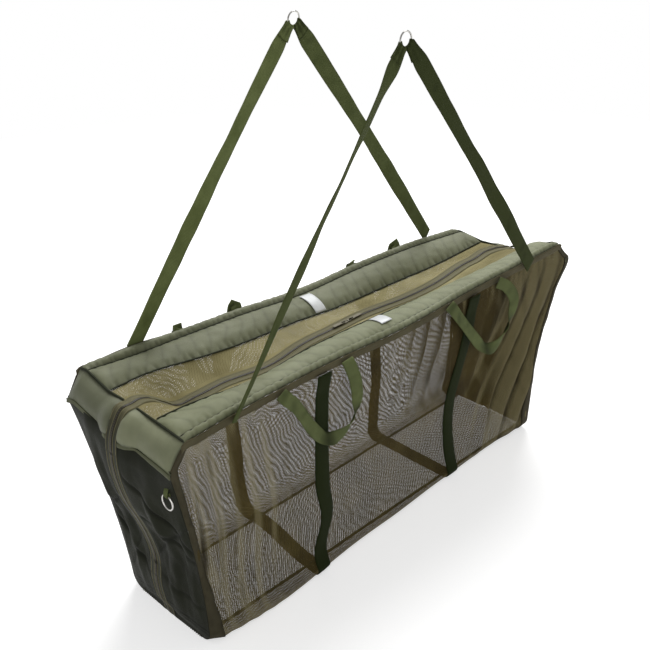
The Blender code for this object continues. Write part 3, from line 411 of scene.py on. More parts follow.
def ribbon(name, line, reach, thickness, material, body, nodes=(), columns=4, crown=0.0, mark=None):
    # a webbing along a line of points; reach(i) is the vector from the line to its edge
    rows = len(line) - 1
    length = sum((line[i + 1] - line[i]).length for i in range(rows))
    width = 2 * reach(rows // 2).length

    def spot(u, v):
        i = round(v * rows)
        side = reach(i)
        out = runAt(line, i).cross(side).normalized()
        return line[i] + side * (2 * u - 1) + out * crown * (1 - (2 * u - 1) ** 2)

    mesh = gridMesh(name, columns, rows, spot, (width, length), mark=mark)
    piece = place(mesh, material, body, nodes, thickness)
    piece["flat"] = (width, length)
    return piece


def makeTube(name, line, radius, material, body, around=8):
    rows = len(line) - 1
    length = sum((line[i + 1] - line[i]).length for i in range(rows))

    def spot(u, v):
        i = round(v * rows)
        run = runAt(line, i).normalized()
        side = run.cross(Vector((0, 0, 1)))
        side = side.normalized() if side.length > 0.05 else Vector((0, 1, 0))
        up = side.cross(run).normalized()
        turn = 2 * math.pi * (u % 1.0)
        grow = 0.02 if v in (0.0, 1.0) else 1.0  # the ends close
        return line[i] + (side * math.cos(turn) + up * math.sin(turn)) * radius * grow

    mesh = gridMesh(name, around, rows, spot, (2 * math.pi * radius, length), closed=True)
    return place(mesh, material, body)


# How the bag lies

# Where each float's three seams run: distance from the middle line in metres, then heights along the length in
# millimetres. The back float rides high at the near end and slumps at the far one.
seams = {
    "front": {
        "outer": (0.172, metres(((-615, 562), (-480, 570), (-230, 572), (0, 561), (280, 569), (615, 568)))),
        "ridge": (0.152, metres(((-615, 564), (-480, 571), (-230, 573), (0, 563), (280, 568), (615, 567)))),
        "inner": (0.0766, metres(((-615, 569), (-530, 566), (-360, 548), (-200, 557), (0, 552), (210, 540),
                                  (400, 533), (615, 536)))),
    },
    "back": {
        "outer": (0.178, metres(((-615, 585), (-480, 585), (-370, 572), (-200, 560), (0, 541), (200, 538),
                                 (400, 530), (615, 510)))),
        "ridge": (0.152, metres(((-615, 590), (-500, 577), (-370, 570), (-200, 559), (0, 541), (200, 541),
                                 (400, 533), (615, 513)))),
        "inner": (0.0766, metres(((-615, 571), (-517, 571), (-387, 552), (-272, 538), (-90, 527), (40, 514),
                                  (260, 506), (420, 500), (615, 504)))),
    },
}
zipLine = {  # heights and side sway of the zip along the top; it lies straight where the sliders rest and end
    "height": metres(((-635, 568), (-600, 574), (-565, 562), (-530, 537), (-503, 519), (-460, 518), (-430, 518),
                      (-360, 515), (-250, 512), (-140, 520), (-60, 518), (60, 518), (200, 511), (330, 511),
                      (430, 517.5), (490, 518.5), (530, 521), (600, 514), (635, 500))),
    "sway": metres(((-620, 0), (-560, 7), (-500, 0), (-460, 0), (-430, 0), (-370, 4), (-260, -9), (-150, -3),
                    (-50, 0), (50, 0), (200, -8), (300, -9), (430, 0), (480, 0), (540, 4), (620, 0))),
}
zipEnds = {  # distance of the zip from the middle against its height, down each end
    "near": metres(((22, 583.5), (60, 600), (120, 607), (180, 603), (270, 622), (360, 655), (450, 672), (520, 668),
                    (555, 652), (568, 635))),
    "far": metres(((22, 583.5), (60, 587), (120, 592), (200, 601), (270, 612), (360, 630), (420, 642), (460, 648),
                   (485, 645), (500, 635))),
}
bag = {
    "floatEnd": 0.615, "padTop": 0.614, "padReach": 0.041, "padDrop": 0.056, "baseEnd": 0.583, "baseSide": 0.11,
    "floor": 0.003, "bend": 0.03, "straightShare": 0.88, "tapeWidth": 0.02, "bandPlace": 0.25, "halfLength": 0.62,
    "levelFoot": 0.504, "levelTop": 0.545,  # a level bag's heights at the pads' feet and the walls' top
    "shoulder": {"near": 0.0015, "far": 0.0052},  # how far the zip has dropped at its round turn over each end
}


def seam(sideName, which, x):
    offset, heights = seams[sideName][which]
    return Vector((offset, follow(heights, x)))


def zipHeight(x):
    return follow(zipLine["height"], x)


def zipSway(x):
    return follow(zipLine["sway"], x)


def zipReach(endName, z):
    return follow(zipEnds[endName], z)


def upward(run):  # square to a line across the bag, on its upper side
    out = Vector((run.y, -run.x)).normalized()
    return out if out.y > 0 else -out


def cornerReach(height):  # how far out the bag's corners stand at a height of the level bag
    if height > bag["levelFoot"]:
        return mix(0.655, bag["floatEnd"], (height - bag["levelFoot"]) / bag["padDrop"])
    return 0.58 + 0.075 * (max(0.0, height) / bag["levelFoot"]) ** 1.6


def wallFolds(sideName, x, z, down):
    # how far the net stands out from its plain curve, and its fold mark: how deep in a fold it lies, with a painted
    # highlight added at the far corner
    hang = bow(min(1.0, down / 0.95))
    if sideName == "front":
        push = 0.014 * hump(x, -0.34, 0.22) * hang
        push -= 0.024 * ease((x + 0.02) / 0.22) * hump(down, 0.62, 0.3) * (1 - ease((x - 0.42) / 0.12))
        push += 0.004 * hump(x, 0.3, 0.3) * hump(down, 0.12, 0.14)
        foot = 0.03 * hump(x, -0.4, 0.22) + 0.01 * hump(x, 0.1, 0.3)
    else:
        push = -0.02 * hump(down, 0.48, 0.22) * hump(x, -0.05, 0.45) + 0.01 * hump(down, 0.8, 0.14)
        foot = 0.012
    push += foot * hump(down, 0.93, 0.07)
    # upright pleats beside the near corner
    nearEdge = ease((-0.3 - x) / 0.22)
    pleat = math.sin(2 * math.pi * (x + 0.06 * z + 0.01 * rough(z * 5, 0.0, 6.0)) / 0.046 + 1.2)
    pleat *= 0.6 + 0.5 * rough(x * 9, z * 3, 4.0)
    push += 0.0115 * nearEdge * pleat * hang ** 0.7
    # slanting drapes beside the far one
    farEdge = ease((x - 0.27) / 0.14)
    sweep = math.sin(2 * math.pi * (x + 0.34 * (0.55 - z) + 0.02 * rough(x * 5, z * 4, 7.0)) / 0.074)
    push += 0.011 * farEdge * sweep * hang ** 0.8 * ease(down / 0.5)
    # slack and short creases in between
    push += 0.007 * rough(x * 7, z * 5, 1.0 if sideName == "back" else 2.0) * hang
    crease = rough(x * 34 + z * 9, z * 5, 3.0)
    push += 0.0026 * crease * hang
    gathered = math.exp(-down / 0.05) * max(0.0, rough(x * 55, 0.0, 8.0) + 0.15)
    deep = 1.15 * nearEdge * max(0.0, -pleat) ** 1.3 * hang ** 0.5
    deep += 0.6 * farEdge * max(0.0, -sweep) ** 1.4 * hang ** 0.5
    deep += 0.55 * max(0.0, -crease - 0.12) * (0.5 + 0.5 * nearEdge + 0.5 * farEdge)
    # painted light: the far end of the net is marked 0.4, which the net draws paler as if lit; deeper marks are painted
    # shade
    deep += 0.4 * ease((x - 0.36) / 0.1) + 0.12 * nearEdge
    deep += 0.7 * gathered + 0.35 * hump(down, 0.93, 0.035)
    return push, deep


def wallPoint(sideName, along, down, lift=0.0, deepOnly=False):
    # a point of a side wall: along is -1 at the near corner and 1 at the far one, down is 0 at the float and 1 at
    # the base seam. lift moves it straight out from the wall. deepOnly asks for the depth in a fold instead
    side = sides[sideName]
    top = seam(sideName, "outer", along * bag["floatEnd"]) - Vector((0.001, 0.011))
    knee = bag["floor"] + bag["bend"]
    if down <= bag["straightShare"]:
        part = down / bag["straightShare"]
        offset, z = mix(top.x, bag["baseSide"] + bag["bend"], part), mix(top.y, knee, part)
        out = Vector((1.0, -0.08))
    else:
        angle = (down - bag["straightShare"]) / (1 - bag["straightShare"]) * math.pi / 2
        offset = bag["baseSide"] + bag["bend"] * math.cos(angle)
        z = knee - bag["bend"] * math.sin(angle)
        out = Vector((math.cos(angle), -math.sin(angle)))
    x = along * cornerReach(z / top.y * bag["levelTop"])
    if sideName == "front" and along > 0.85:  # the far corner flares at the pad's foot and is drawn in below it
        x += (0.022 * hump(down, 0.1, 0.06) - 0.02 * hump(down, 0.5, 0.24)) * ease((along - 0.85) / 0.15)
    push, deep = wallFolds(sideName, x, z, down)
    if deepOnly:
        return deep
    push *= ease((1 - abs(along)) / 0.05)  # the sewn corners stay in place
    z = max(bag["floor"] - 0.0012, z + out.y * (push * 0.4 + lift))
    return Vector((x, side * (offset + out.x * (push + lift)), z))


# Floats

floatShape = {"stripCrown": 0.0105, "panelCrown": 0.012, "underCrown": 0.0105, "pucker": 0.0062, "columns": 60,
              "rows": 370, "stripColumns": 8, "girth": 0.211, "tip": 0.024, "ripple": 0.043}


def pucker(x, gone, reach, spacing, seed):
    # short sharp gathers that run out from a seam: 1 in the bottom of one, 0 on the smooth cloth between
    cell = math.floor(x / spacing)
    depth = 0.0
    for k in (cell - 1, cell, cell + 1):
        centre = (k + 0.5 + 0.6 * rough(k * 0.77, 0.3, seed)) * spacing
        slant = 0.9 * rough(k * 1.31, 0.9, seed)
        length = reach * (0.6 + 1.1 * abs(rough(k * 0.59, 0.1, seed + 1)))
        strength = 0.65 + 0.7 * abs(rough(k * 0.91, 0.6, seed + 2))
        near = hump(x - slant * gone, centre, 0.003 + 0.22 * gone)
        depth = max(depth, strength * near * math.exp(-(gone / length) ** 1.4))
    return depth


def makeFloat(sideName):
    side = sides[sideName]
    columns = floatShape["columns"]
    strip = floatShape["stripColumns"] / columns
    bounds = [0, strip, 0.5, 1 - strip, 1]
    seed = 10.0 + side

    def where(u, v):  # which of the four faces, how far across it, and the two seams it lies between
        u = u % 1.0
        x = mix(-bag["floatEnd"], bag["floatEnd"], v)
        outer, ridge, inner = (seam(sideName, which, x) for which in ("outer", "ridge", "inner"))
        part = next(i for i in range(4) if u < bounds[i + 1] + 1e-9 and u >= bounds[i] - 1e-9)
        t = (u - bounds[part]) / (bounds[part + 1] - bounds[part])
        start, stop = ((outer, ridge), (ridge, inner), (inner, ridge), (ridge, outer))[part]
        return x, part, t, start, stop

    def gather(x, part, t, width):
        first, second = t * width, (1 - t) * width
        if part == 0:  # the puffed outer strip
            return 0.7 * pucker(x, first, 0.01, 0.021, 31.0 + side) + pucker(x, second, 0.01, 0.017, 35.0 + side)
        if part == 1:  # the wide smooth channel, gathered most at its inner edge
            return 0.6 * pucker(x, first, 0.011, 0.021, 37.0 + side) + pucker(x, second, 0.015, 0.024, 41.0 + side)
        return 0.5 * pucker(x, first, 0.012, 0.026, 43.0 + part) + 0.5 * pucker(x, second, 0.012, 0.026, 47.0 + part)

    def slanting(x, t, width):  # the beat of the ripples that cross the wide channel on the slant
        wave = (x + 0.55 * t * width + 0.022 * rough(x * 8, t * 1.5, seed)) / floatShape["ripple"]
        return abs(bow(wave))

    def spot(u, v):
        x, part, t, start, stop = where(u, v)
        crown = (floatShape["stripCrown"], floatShape["panelCrown"], floatShape["underCrown"],
                 floatShape["underCrown"] * 0.7)[part]
        run = stop - start
        out = upward(run) * (1 if part < 2 else -1)
        tip = min(1.0, (bag["floatEnd"] - abs(x)) / floatShape["tip"])
        tip = math.sqrt(max(0.0, 1 - (1 - tip) ** 2))
        fill = 1 + 0.14 * rough(x * 6, part, seed) + 0.05 * rough(x * 19, part, seed + 3)
        stand = crown * pillow(t, 2.3) * fill
        width = run.length
        sunk = floatShape["pucker"] * gather(x, part, t, width) * min(1.0, min(t, 1 - t) * width / 0.0035)
        ripple = (0.5 + 0.9 * abs(rough(x * 5, t, seed + 5))) * 0.0024 * (slanting(x, t, width) ** 0.7 - 0.6)
        ripple = (ripple * (1.35 - pillow(t)) + 0.0014 * rough(x * 34, t * 4, seed + 6)) * pillow(t)
        point = start.lerp(stop, t) + out * (stand - sunk + (ripple if part == 1 else 0)) * tip
        return x, side * point.x, point.y

    def mark(u, v):
        x, part, t, start, stop = where(u, v)
        width = (stop - start).length
        gone = min(t, 1 - t) * width
        ripple = 0.32 * (1 - slanting(x, t, width)) ** 3 * pillow(t) * (part == 1)
        # painted shade: darker in the puckers, along every seam and in the ripples' dips
        return gather(x, part, t, width) * math.exp(-gone / 0.014) + 0.7 * math.exp(-(gone / 0.0026) ** 2) + ripple

    size = (floatShape["girth"], 2 * bag["floatEnd"])
    mesh = gridMesh(sideName + "Float", columns, floatShape["rows"], spot, size, closed=True, mark=mark)
    piece = place(mesh, floatOxford[sideName], sideName + "_half",
                  (sideName + "_float_cover", sideName + "_float_outer_foam", sideName + "_float_inner_foam"))
    cushion(piece)
    # the dark piping and a thin dark cord in the ridge seam: partly painted shade along the seams
    for which, title, radius, drop in (("inner", "Piping", 0.0021, 0.001), ("ridge", "RidgeCord", 0.0012, 0.0008)):
        line = []
        for i in range(241):
            x = mix(-bag["floatEnd"] + 0.006, bag["floatEnd"] - 0.006, i / 240)
            at = seam(sideName, which, x)
            ripple = 0.0009 * rough(x * 60, 0.0, seed + 7)
            line.append(Vector((x, side * (at.x + ripple), at.y + drop + 0.5 * ripple)))
        makeTube(sideName + title, line, radius, pipingWithSeamShade, sideName + "_half")


# End pads

padShape = {"outerCrown": 0.013, "innerCrown": 0.01, "hollow": 0.004}


def padSpan(endName, sideName, gap=0.005):  # from beside the zip to the float's outer seam
    return bag["tapeWidth"] - gap, seam(sideName, "outer", ends[endName] * bag["floatEnd"]).x + 0.0005


def rimHeight(sideName, x, offset):
    inner, ridge, outer = (seam(sideName, which, x) for which in ("inner", "ridge", "outer"))
    if offset < inner.x:
        return mix(zipHeight(x), inner.y, offset / inner.x)
    if offset < ridge.x:
        return mix(inner.y, ridge.y, (offset - inner.x) / (ridge.x - inner.x))
    return mix(ridge.y, outer.y, min(1.0, (offset - ridge.x) / (outer.x - ridge.x)))


def zipEdge(endName, t):
    # the zip's line down the pads' inner edges, from the floats' ends (t 0) to the pads' feet (t 1)
    top = zipHeight(ends[endName] * bag["padTop"])
    foot = top - bag["padDrop"]
    points = [Vector((bag["padTop"], top)), Vector((0.633, top - bag["shoulder"][endName]))]
    points += [Vector((zipReach(endName, mix(top, foot, k / 4)), mix(top, foot, k / 4))) for k in range(1, 5)]
    i = min(4, int(t * 5))
    return points[i].lerp(points[i + 1], t * 5 - i)


def padFoot(endName, sideName, offset):
    # a point of the pads' lower edge: distance along the bag and height
    first, last = padSpan(endName, sideName)
    v = (offset - first) / (last - first)
    plain = Vector((bag["padTop"] + bag["padReach"],
                    rimHeight(sideName, ends[endName] * bag["floatEnd"], offset) - bag["padDrop"]
                    + padShape["hollow"] * bow(min(1.0, max(0.0, v)))))
    return zipEdge(endName, 1.0).lerp(plain, ease(v / 0.35))


def makeEndPad(endName, sideName):
    end, side = ends[endName], sides[sideName]
    x0 = end * bag["floatEnd"]
    first, last = padSpan(endName, sideName)

    def fromTop(u):  # out over the pad's face and back behind it: 0 at the top edge, 1 at the foot
        return 2 * u if u <= 0.5 else 2 - 2 * u

    def spot(u, v):
        u = u % 1.0
        offset = mix(first, last, v)
        down = fromTop(u)
        outward = 1 if u <= 0.5 else -1
        top = Vector((bag["padTop"] + 0.0005, rimHeight(sideName, x0, offset) - padShape["hollow"] * bow(v) * 0.4))
        foot = padFoot(endName, sideName, offset)
        run = (foot - top).normalized()
        out = Vector((-run.y, run.x))
        out = out if out.x > 0 else -out
        crown = padShape["outerCrown"] if outward > 0 else padShape["innerCrown"]
        swell = pillow(down, 2.2) * pillow(v, 3.0) ** 0.6
        swell *= 1 + 0.1 * rough(v * 3, down * 2, 20.0 + end + 3 * side)
        edge = min(down, 1 - down, v * 1.6, (1 - v) * 1.6)
        crease = 0.002 * rough(offset * 90, down * 3, 30.0 + side) * math.exp(-edge / 0.12) * (edge > 0.01)
        at = top.lerp(foot, down).lerp(zipEdge(endName, down), 1 - ease(v / 0.35))
        point = at + out * outward * (crown * swell + crease)
        inset = side * (offset - 0.004 * max(0.0, 2 * v - 1) * bow(down))
        return end * point.x, inset, point.y

    def mark(u, v):
        down = fromTop(u % 1.0)
        edge = min(down * 0.07, (1 - down) * 0.07, v * 0.15, (1 - v) * 0.15)
        creased = max(0.0, rough(v * 26, down * 2, 33.0 + side)) * math.exp(-edge / 0.008)
        # painted shade along the pad's sewn edges and in creases near them
        return 0.8 * math.exp(-(edge / 0.0025) ** 2) + 0.5 * creased

    name = endName + sideName.capitalize() + "EndPad"
    mesh = gridMesh(name, 32, 36, spot, (0.14, last - first), closed=True, mark=mark)
    piece = place(mesh, padOxford[sideName], sideName + "_half",
                  (f"{endName}_{sideName}_end_pad_cover", f"{endName}_{sideName}_end_pad_foam"))
    cushion(piece)
    seamLine, hemLine = [], []  # the corded seam where it is sewn to the float, and the rolled hem along its foot
    for i in range(31):
        offset = mix(first + 0.004, last - 0.001, i / 30)
        height = rimHeight(sideName, x0, offset) + 0.0014
        seamLine.append(Vector((end * (bag["padTop"] + 0.0004), side * offset, height)))
        offset = mix(first + 0.006, last, i / 30)
        foot = padFoot(endName, sideName, offset)
        hemLine.append(Vector((end * (foot.x + 0.0012), side * offset, foot.y - 0.003)))
    makeTube(name + "Seam", seamLine, 0.0027, pipingWithSeamShade, sideName + "_half")
    hem = ribbon(name + "Hem", hemLine, lambda i: Vector((end * -0.0004, 0, 0.005)), 0.0022, hemCloth,
                 sideName + "_half", crown=0.0008)


# Walls, base and flaps

def makeWall(sideName):
    def spot(u, v):
        share = 1 - 0.003 / bag["halfLength"]
        return wallPoint(sideName, mix(-share, share, u), 1 - v)

    def mark(u, v):
        return wallPoint(sideName, mix(-1, 1, u), 1 - v, deepOnly=True)

    mesh = gridMesh(sideName + "MeshWall", 260, 80, spot, (1.24, 0.57), mark=mark)
    piece = place(mesh, wallNet, None, (sideName + "_mesh_wall",))
    leanWithHalf(piece)


bindingShape = {"end": 0.6235, "rows": 160, "halfWidth": 0.0088, "thickness": 0.0016}


def makeBinding(sideName):
    side = sides[sideName]
    line = []
    for i in range(bindingShape["rows"] + 1):
        x = mix(-bindingShape["end"], bindingShape["end"], i / bindingShape["rows"])
        at = seam(sideName, "outer", x)
        rise = 0.0026 * hump(abs(x), 0.608, 0.012) - 0.003 * max(0.0, (abs(x) - 0.616) / 0.0075)
        line.append(Vector((x, side * (at.x + 0.0012), at.y - 0.0085 + rise)))

    def reach(i):
        wave = 0.0012 * rough(line[i].x * 20, 0.0, 40.0 + side)
        return Vector((0, side * (0.0009 + wave), bindingShape["halfWidth"]))

    piece = ribbon(sideName + "TopBinding", line, reach, bindingShape["thickness"], bindingCloth,
                   sideName + "_half", (sideName + "_top_binding",))


# the corner tapes' width against their way down
cornerWidths = ((0.0, 0.017), (0.3, 0.014), (0.6, 0.018), (0.85, 0.029), (1.0, 0.032))


def makeCornerTape(endName, sideName):
    end, side = ends[endName], sides[sideName]

    def spot(u, v):
        down = 1 - v
        width = follow(cornerWidths, down) * (1.0 if side < 0 else 0.8)
        width *= 1 + 0.25 * rough(down * 9, 0.0, 45.0 + side)
        point = wallPoint(sideName, end, down, 0.0008)
        at = point.lerp(wallPoint(sideName, end * (1 - width / bag["halfLength"]), down, 0.0012), u)
        at.y += side * 0.0022 * rough(down * 16, u * 2, 46.0 + side) * bow(min(1.0, down * 1.1))
        return at

    def mark(u, v):
        # random dark patches, and painted shade along its edge against the net
        return 0.5 * max(0.0, rough(v * 30, u * 2, 47.0)) + 0.4 * hump(u, 1.0, 0.2)

    mesh = gridMesh(endName + sideName.capitalize() + "CornerTape", 4, 60, spot, (0.024, 0.56), mark=mark)
    piece = place(mesh, cornerCloth, None, (f"{endName}_{sideName}_corner_tape",),
                  bindingShape["thickness"])
    leanWithHalf(piece)


endCreases = {  # where each thin crease of an end wall starts, how steeply it runs and how deep it is
    ("near", "front"): ((0.13, 0.3, 1.0), (0.62, -0.34, 0.7), (0.36, 0.12, 0.8), (0.7, 0.05, 0.5)),
    ("near", "back"): ((0.3, 0.22, 0.8), (0.8, -0.3, 0.9), (0.52, 0.38, 0.5)),
    ("far", "front"): ((0.22, 0.46, 0.8), (0.74, -0.16, 0.6), (0.48, -0.2, 0.7)),
    ("far", "back"): ((0.4, -0.24, 0.7), (0.58, 0.3, 0.9)),
}


def makeEndWall(endName, sideName):
    end, side = ends[endName], sides[sideName]
    first, last = padSpan(endName, sideName, 0.002)
    creases = endCreases[(endName, sideName)]

    def slackAt(u, down):
        return bow(u) * bow(min(1, down * 1.05))

    def lines(u, down):  # the creases' depth, and a double seam low down
        bent = 0.035 * rough(u * 3, down * 2, 57.0 + side)
        deep = max(size * hump(down - slope * u + bent, start, 0.013) for start, slope, size in creases)
        return deep * slackAt(u, down) ** 0.5, hump(down, 0.865, 0.006) + hump(down, 0.893, 0.006)

    def spot(u, v):
        down = 1 - v
        top = padFoot(endName, sideName, mix(first, last, u))
        edge = wallPoint(sideName, end, mix(0.055, 1.0, down), 0.0004)
        z = mix(top.y + 0.006, 0.0028, down)
        inner = Vector((end * zipReach(endName, z), side * first, z))
        point = inner.lerp(edge, ease(u) * 0.35 + u * 0.65)
        point.z = mix(z, edge.z, u)
        slack = slackAt(u, down)
        fold = math.sin(2 * math.pi * (u * 2.3 + 0.5 * down)) * slack * 0.005
        fold += 0.006 * rough(u * 5, down * 5, 50.0 + side + 2 * end) * slack
        fold += 0.003 * rough(u * 11, down * 12, 53.0 + side + 2 * end) * slack
        if endName == "near":
            fold -= 0.01 * hump(down, 0.52, 0.1) * bow(u)
        creased, sewn = lines(u, down)
        point.x += end * (0.009 * slack + fold - 0.005 * creased - 0.0012 * sewn * slack ** 0.3)
        tucked = Vector((end * (top.x - 0.0035), side * mix(first, last, u), top.y + 0.006))
        return tucked.lerp(point, ease(down / 0.07))

    def mark(u, v):
        creased, sewn = lines(u, 1 - v)
        # painted shade in the creases and the double seam, and under the pad where the wall tucks in at the top
        return 0.9 * creased + 0.7 * sewn + 0.7 * math.exp(-(1 - v) / 0.02)

    mesh = gridMesh(endName + sideName.capitalize() + "EndWall", 48, 120, spot, (0.16, 0.5), mark=mark)
    piece = place(mesh, endCloth, None, (f"{endName}_{sideName}_end_wall",), 0.001)
    leanWithHalf(piece)


def makeFlap(sideName):
    side = sides[sideName]

    def spot(u, v):
        x = mix(-bag["floatEnd"] + 0.001, bag["floatEnd"] - 0.001, u)
        inner = seam(sideName, "inner", x)
        start = Vector((side * (bag["tapeWidth"] - 0.001) + zipSway(x), zipHeight(x) - 0.0006))
        stop = Vector((side * (inner.x - 0.0008), inner.y - 0.0012))
        point = start.lerp(stop, v)
        slack = bow(v) * bow(min(1.0, max(0.0, u))) ** 0.5
        wave = 0.0032 * rough(x * 14, v * 1.5, 60.0 + side) * slack
        wave += 0.0014 * rough(x * 45, v * 2, 62.0 + side) * slack
        return x, point.x, point.y - 0.004 * slack + wave

    mesh = gridMesh(sideName + "TopFlap", 220, 14, spot, (1.228, 0.062))
    piece = place(mesh, flapNetPaintedLit, sideName + "_half", (sideName + "_top_flap",))


bandShape = {"width": 0.04, "thickness": 0.0015, "baseThickness": 0.0012, "curl": 0.0022, "stand": 0.0065}


def makeBase():
    def spot(u, v):
        x, y = mix(-bag["baseEnd"], bag["baseEnd"], u), mix(-bag["baseSide"], bag["baseSide"], v)
        wave = 0.0016 * (1 + rough(x * 8, y * 8, 70.0)) * bow(u) * bow(v)
        return x, y, 0.0026 + wave

    mesh = gridMesh("basePanel", 120, 24, spot, (1.16, 0.22))
    piece = place(mesh, baseNetPaintedLighter, "base", ("base_panel",))
    for sideName, side in sides.items():
        line = [Vector((mix(-0.58, 0.58, i / 80), side * (0.111 + 0.0015 * rough(i * 0.2, 0, 71.0)),
                        0.004 + 0.0008 * rough(i * 0.3, 0, 72.0))) for i in range(81)]
        seamTape = ribbon(sideName + "BaseSeam", line, lambda i: Vector((0, 0.0035, 0.0008)), 0.0012, pipingWithSeamShade,
                          "base")
    for endName, end in ends.items():
        drift = 0.03 if end < 0 else 0.004
        line = [Vector((end * bag["bandPlace"] + mix(0.004, drift, ease(i / 12)), mix(-0.11, 0.11, i / 12), 0.0008))
                for i in range(13)]
        band = ribbon(endName + "BaseBand", line, lambda i: Vector((bandShape["width"] / 2, 0, 0)),
                      bandShape["baseThickness"], bodyWebbingShaded, "base", (endName + "_base_band",))


bandSway = {  # how far each body webbing strays along the wall as it hangs, against its way down
    ("front", "near"): ((0.0, 0.0), (0.25, -0.01), (0.5, -0.004), (0.65, 0.012), (0.8, -0.004), (1.0, 0.004)),
    ("front", "far"): ((0.0, 0.004), (0.25, -0.004), (0.5, -0.018), (0.7, -0.016), (0.85, -0.004), (1.0, 0.004)),
    ("back", "near"): ((0.0, -0.006), (0.5, -0.006), (0.75, 0.006), (0.9, 0.02), (1.0, 0.03)),
    ("back", "far"): ((0.0, 0.0), (0.5, 0.008), (0.8, 0.004), (1.0, 0.0)),
}


def makeBand(endName, sideName):
    end, sway = ends[endName], bandSway[(sideName, endName)]

    def spot(u, v):
        down = mix(0.006, 1.0, 1 - v)
        x = end * bag["bandPlace"] + follow(sway, down) + bandShape["width"] * (u - 0.5)
        height = wallPoint(sideName, x / bag["halfLength"], down).z
        curl = bandShape["curl"] * bow(u) * bow(down)
        stand = bandShape["stand"] * (1 - ease((down - 0.015) / 0.08))  # it comes out over the binding
        lifted = wallPoint(sideName, x / cornerReach(height), down, 0.002 + curl + stand)
        lifted.x = x
        return lifted

    mesh = gridMesh(endName + sideName.capitalize() + "BodyBand", 6, 80, spot, (bandShape["width"], 0.57))
    piece = place(mesh, bodyWebbingShaded, None, (f"{endName}_{sideName}_body_band",),
                  bandShape["thickness"])
    leanWithHalf(piece)


# Zip

def zipPath():
    points = []
    for z in (0.004, 0.03, 0.06, 0.12, 0.18, 0.24, 0.3, 0.36, 0.42, 0.47, 0.52, 0.555):
        points.append(Vector((-zipReach("near", z), 0, z)))
    points.append(Vector((-0.636, 0, 0.573)))
    x = -0.612
    while x < bag["floatEnd"]:
        points.append(Vector((x, zipSway(x), zipHeight(x))))
        x += 0.017
    points.append(Vector((0.636, 0, 0.5045)))
    for z in (0.485, 0.46, 0.42, 0.36, 0.3, 0.24, 0.18, 0.12, 0.06, 0.03, 0.004):
        points.append(Vector((zipReach("far", z), 0, z)))
    return smoothPath(points, 0.006)


zipShape = {"tapeMiddle": 0.0104, "tapeHalf": 0.01, "tape": 0.0009, "coilMiddle": 0.0015, "coilRise": 0.001,
            "coil": 0.0013, "stitches": (0.0062, 0.0168), "stitchRise": 0.0007, "stitch": 0.0006}


def makeZip():
    path, shape = zipPath(), zipShape
    for sideName, side in sides.items():
        def shifted(offset, lift):
            line = []
            for i, point in enumerate(path):
                run = runAt(path, i)
                across = Vector((0, 1, 0)) if abs(run.x) < 0.002 else Vector((-run.y / run.x, 1, 0)).normalized()
                out = across.cross(run).normalized()
                if out.dot(Vector((point.x, 0, 0.35))) < 0:
                    out = -out
                line.append(point + across * side * offset + out * lift)
            return line

        tape = ribbon(sideName + "ZipTape", shifted(shape["tapeMiddle"], 0.0),
                      lambda i: Vector((0, shape["tapeHalf"], 0.0)), shape["tape"], tapeCloth, None,
                      (sideName + "_zip_tape",))
        teeth = shifted(shape["coilMiddle"], shape["coilRise"])
        parts = [tape, makeTube(sideName + "ZipCoil", teeth, shape["coil"], coil, None)]
        for count, offset in enumerate(shape["stitches"]):
            parts.append(makeTube(f"{sideName}ZipStitch{count}", shifted(offset, shape["stitchRise"]),
                                  shape["stitch"], stitchThread, None, around=5))
        for part in parts:
            leanWithHalf(part)


# Straps and handles

strapShape = {
    "width": 0.04, "thickness": 0.0018, "footX": 0.48, "offset": 0.18333, "ringZ": 1.204, "ringRadius": 0.0165,
    "loop": 0.00315, "gather": 0.055, "tail": 0.025, "grip": math.radians(45), "wrap": math.radians(41),
    # each V leans about a line through its two feet: the line's middle, its heights at the feet and the lean
    "hinge": {"front": (0.553, 0.553, 0.553, 0.5), "back": (0.548845, 0.57303, 0.52466, 3.0)},
}
strapLimbs = {
    # how far each limb is turned about its own length near the ring and at the foot, how far its foot has crept
    # along the binding as it is pulled up, the foot's height, and how much painted shade darkens the limb
    ("front", "near"): {"twist": (25, 33), "creep": -0.026, "footZ": 0.558, "paintedShade": 0.68},
    ("front", "far"): {"twist": (-4, -6), "creep": 0.0, "footZ": 0.56, "paintedShade": 0.92},
    ("back", "near"): {"twist": (2, 4), "creep": 0.0, "footZ": 0.575, "paintedShade": 0.0},
    ("back", "far"): {"twist": (4, -14), "creep": 0.028, "footZ": 0.527, "paintedShade": 0.45},
}


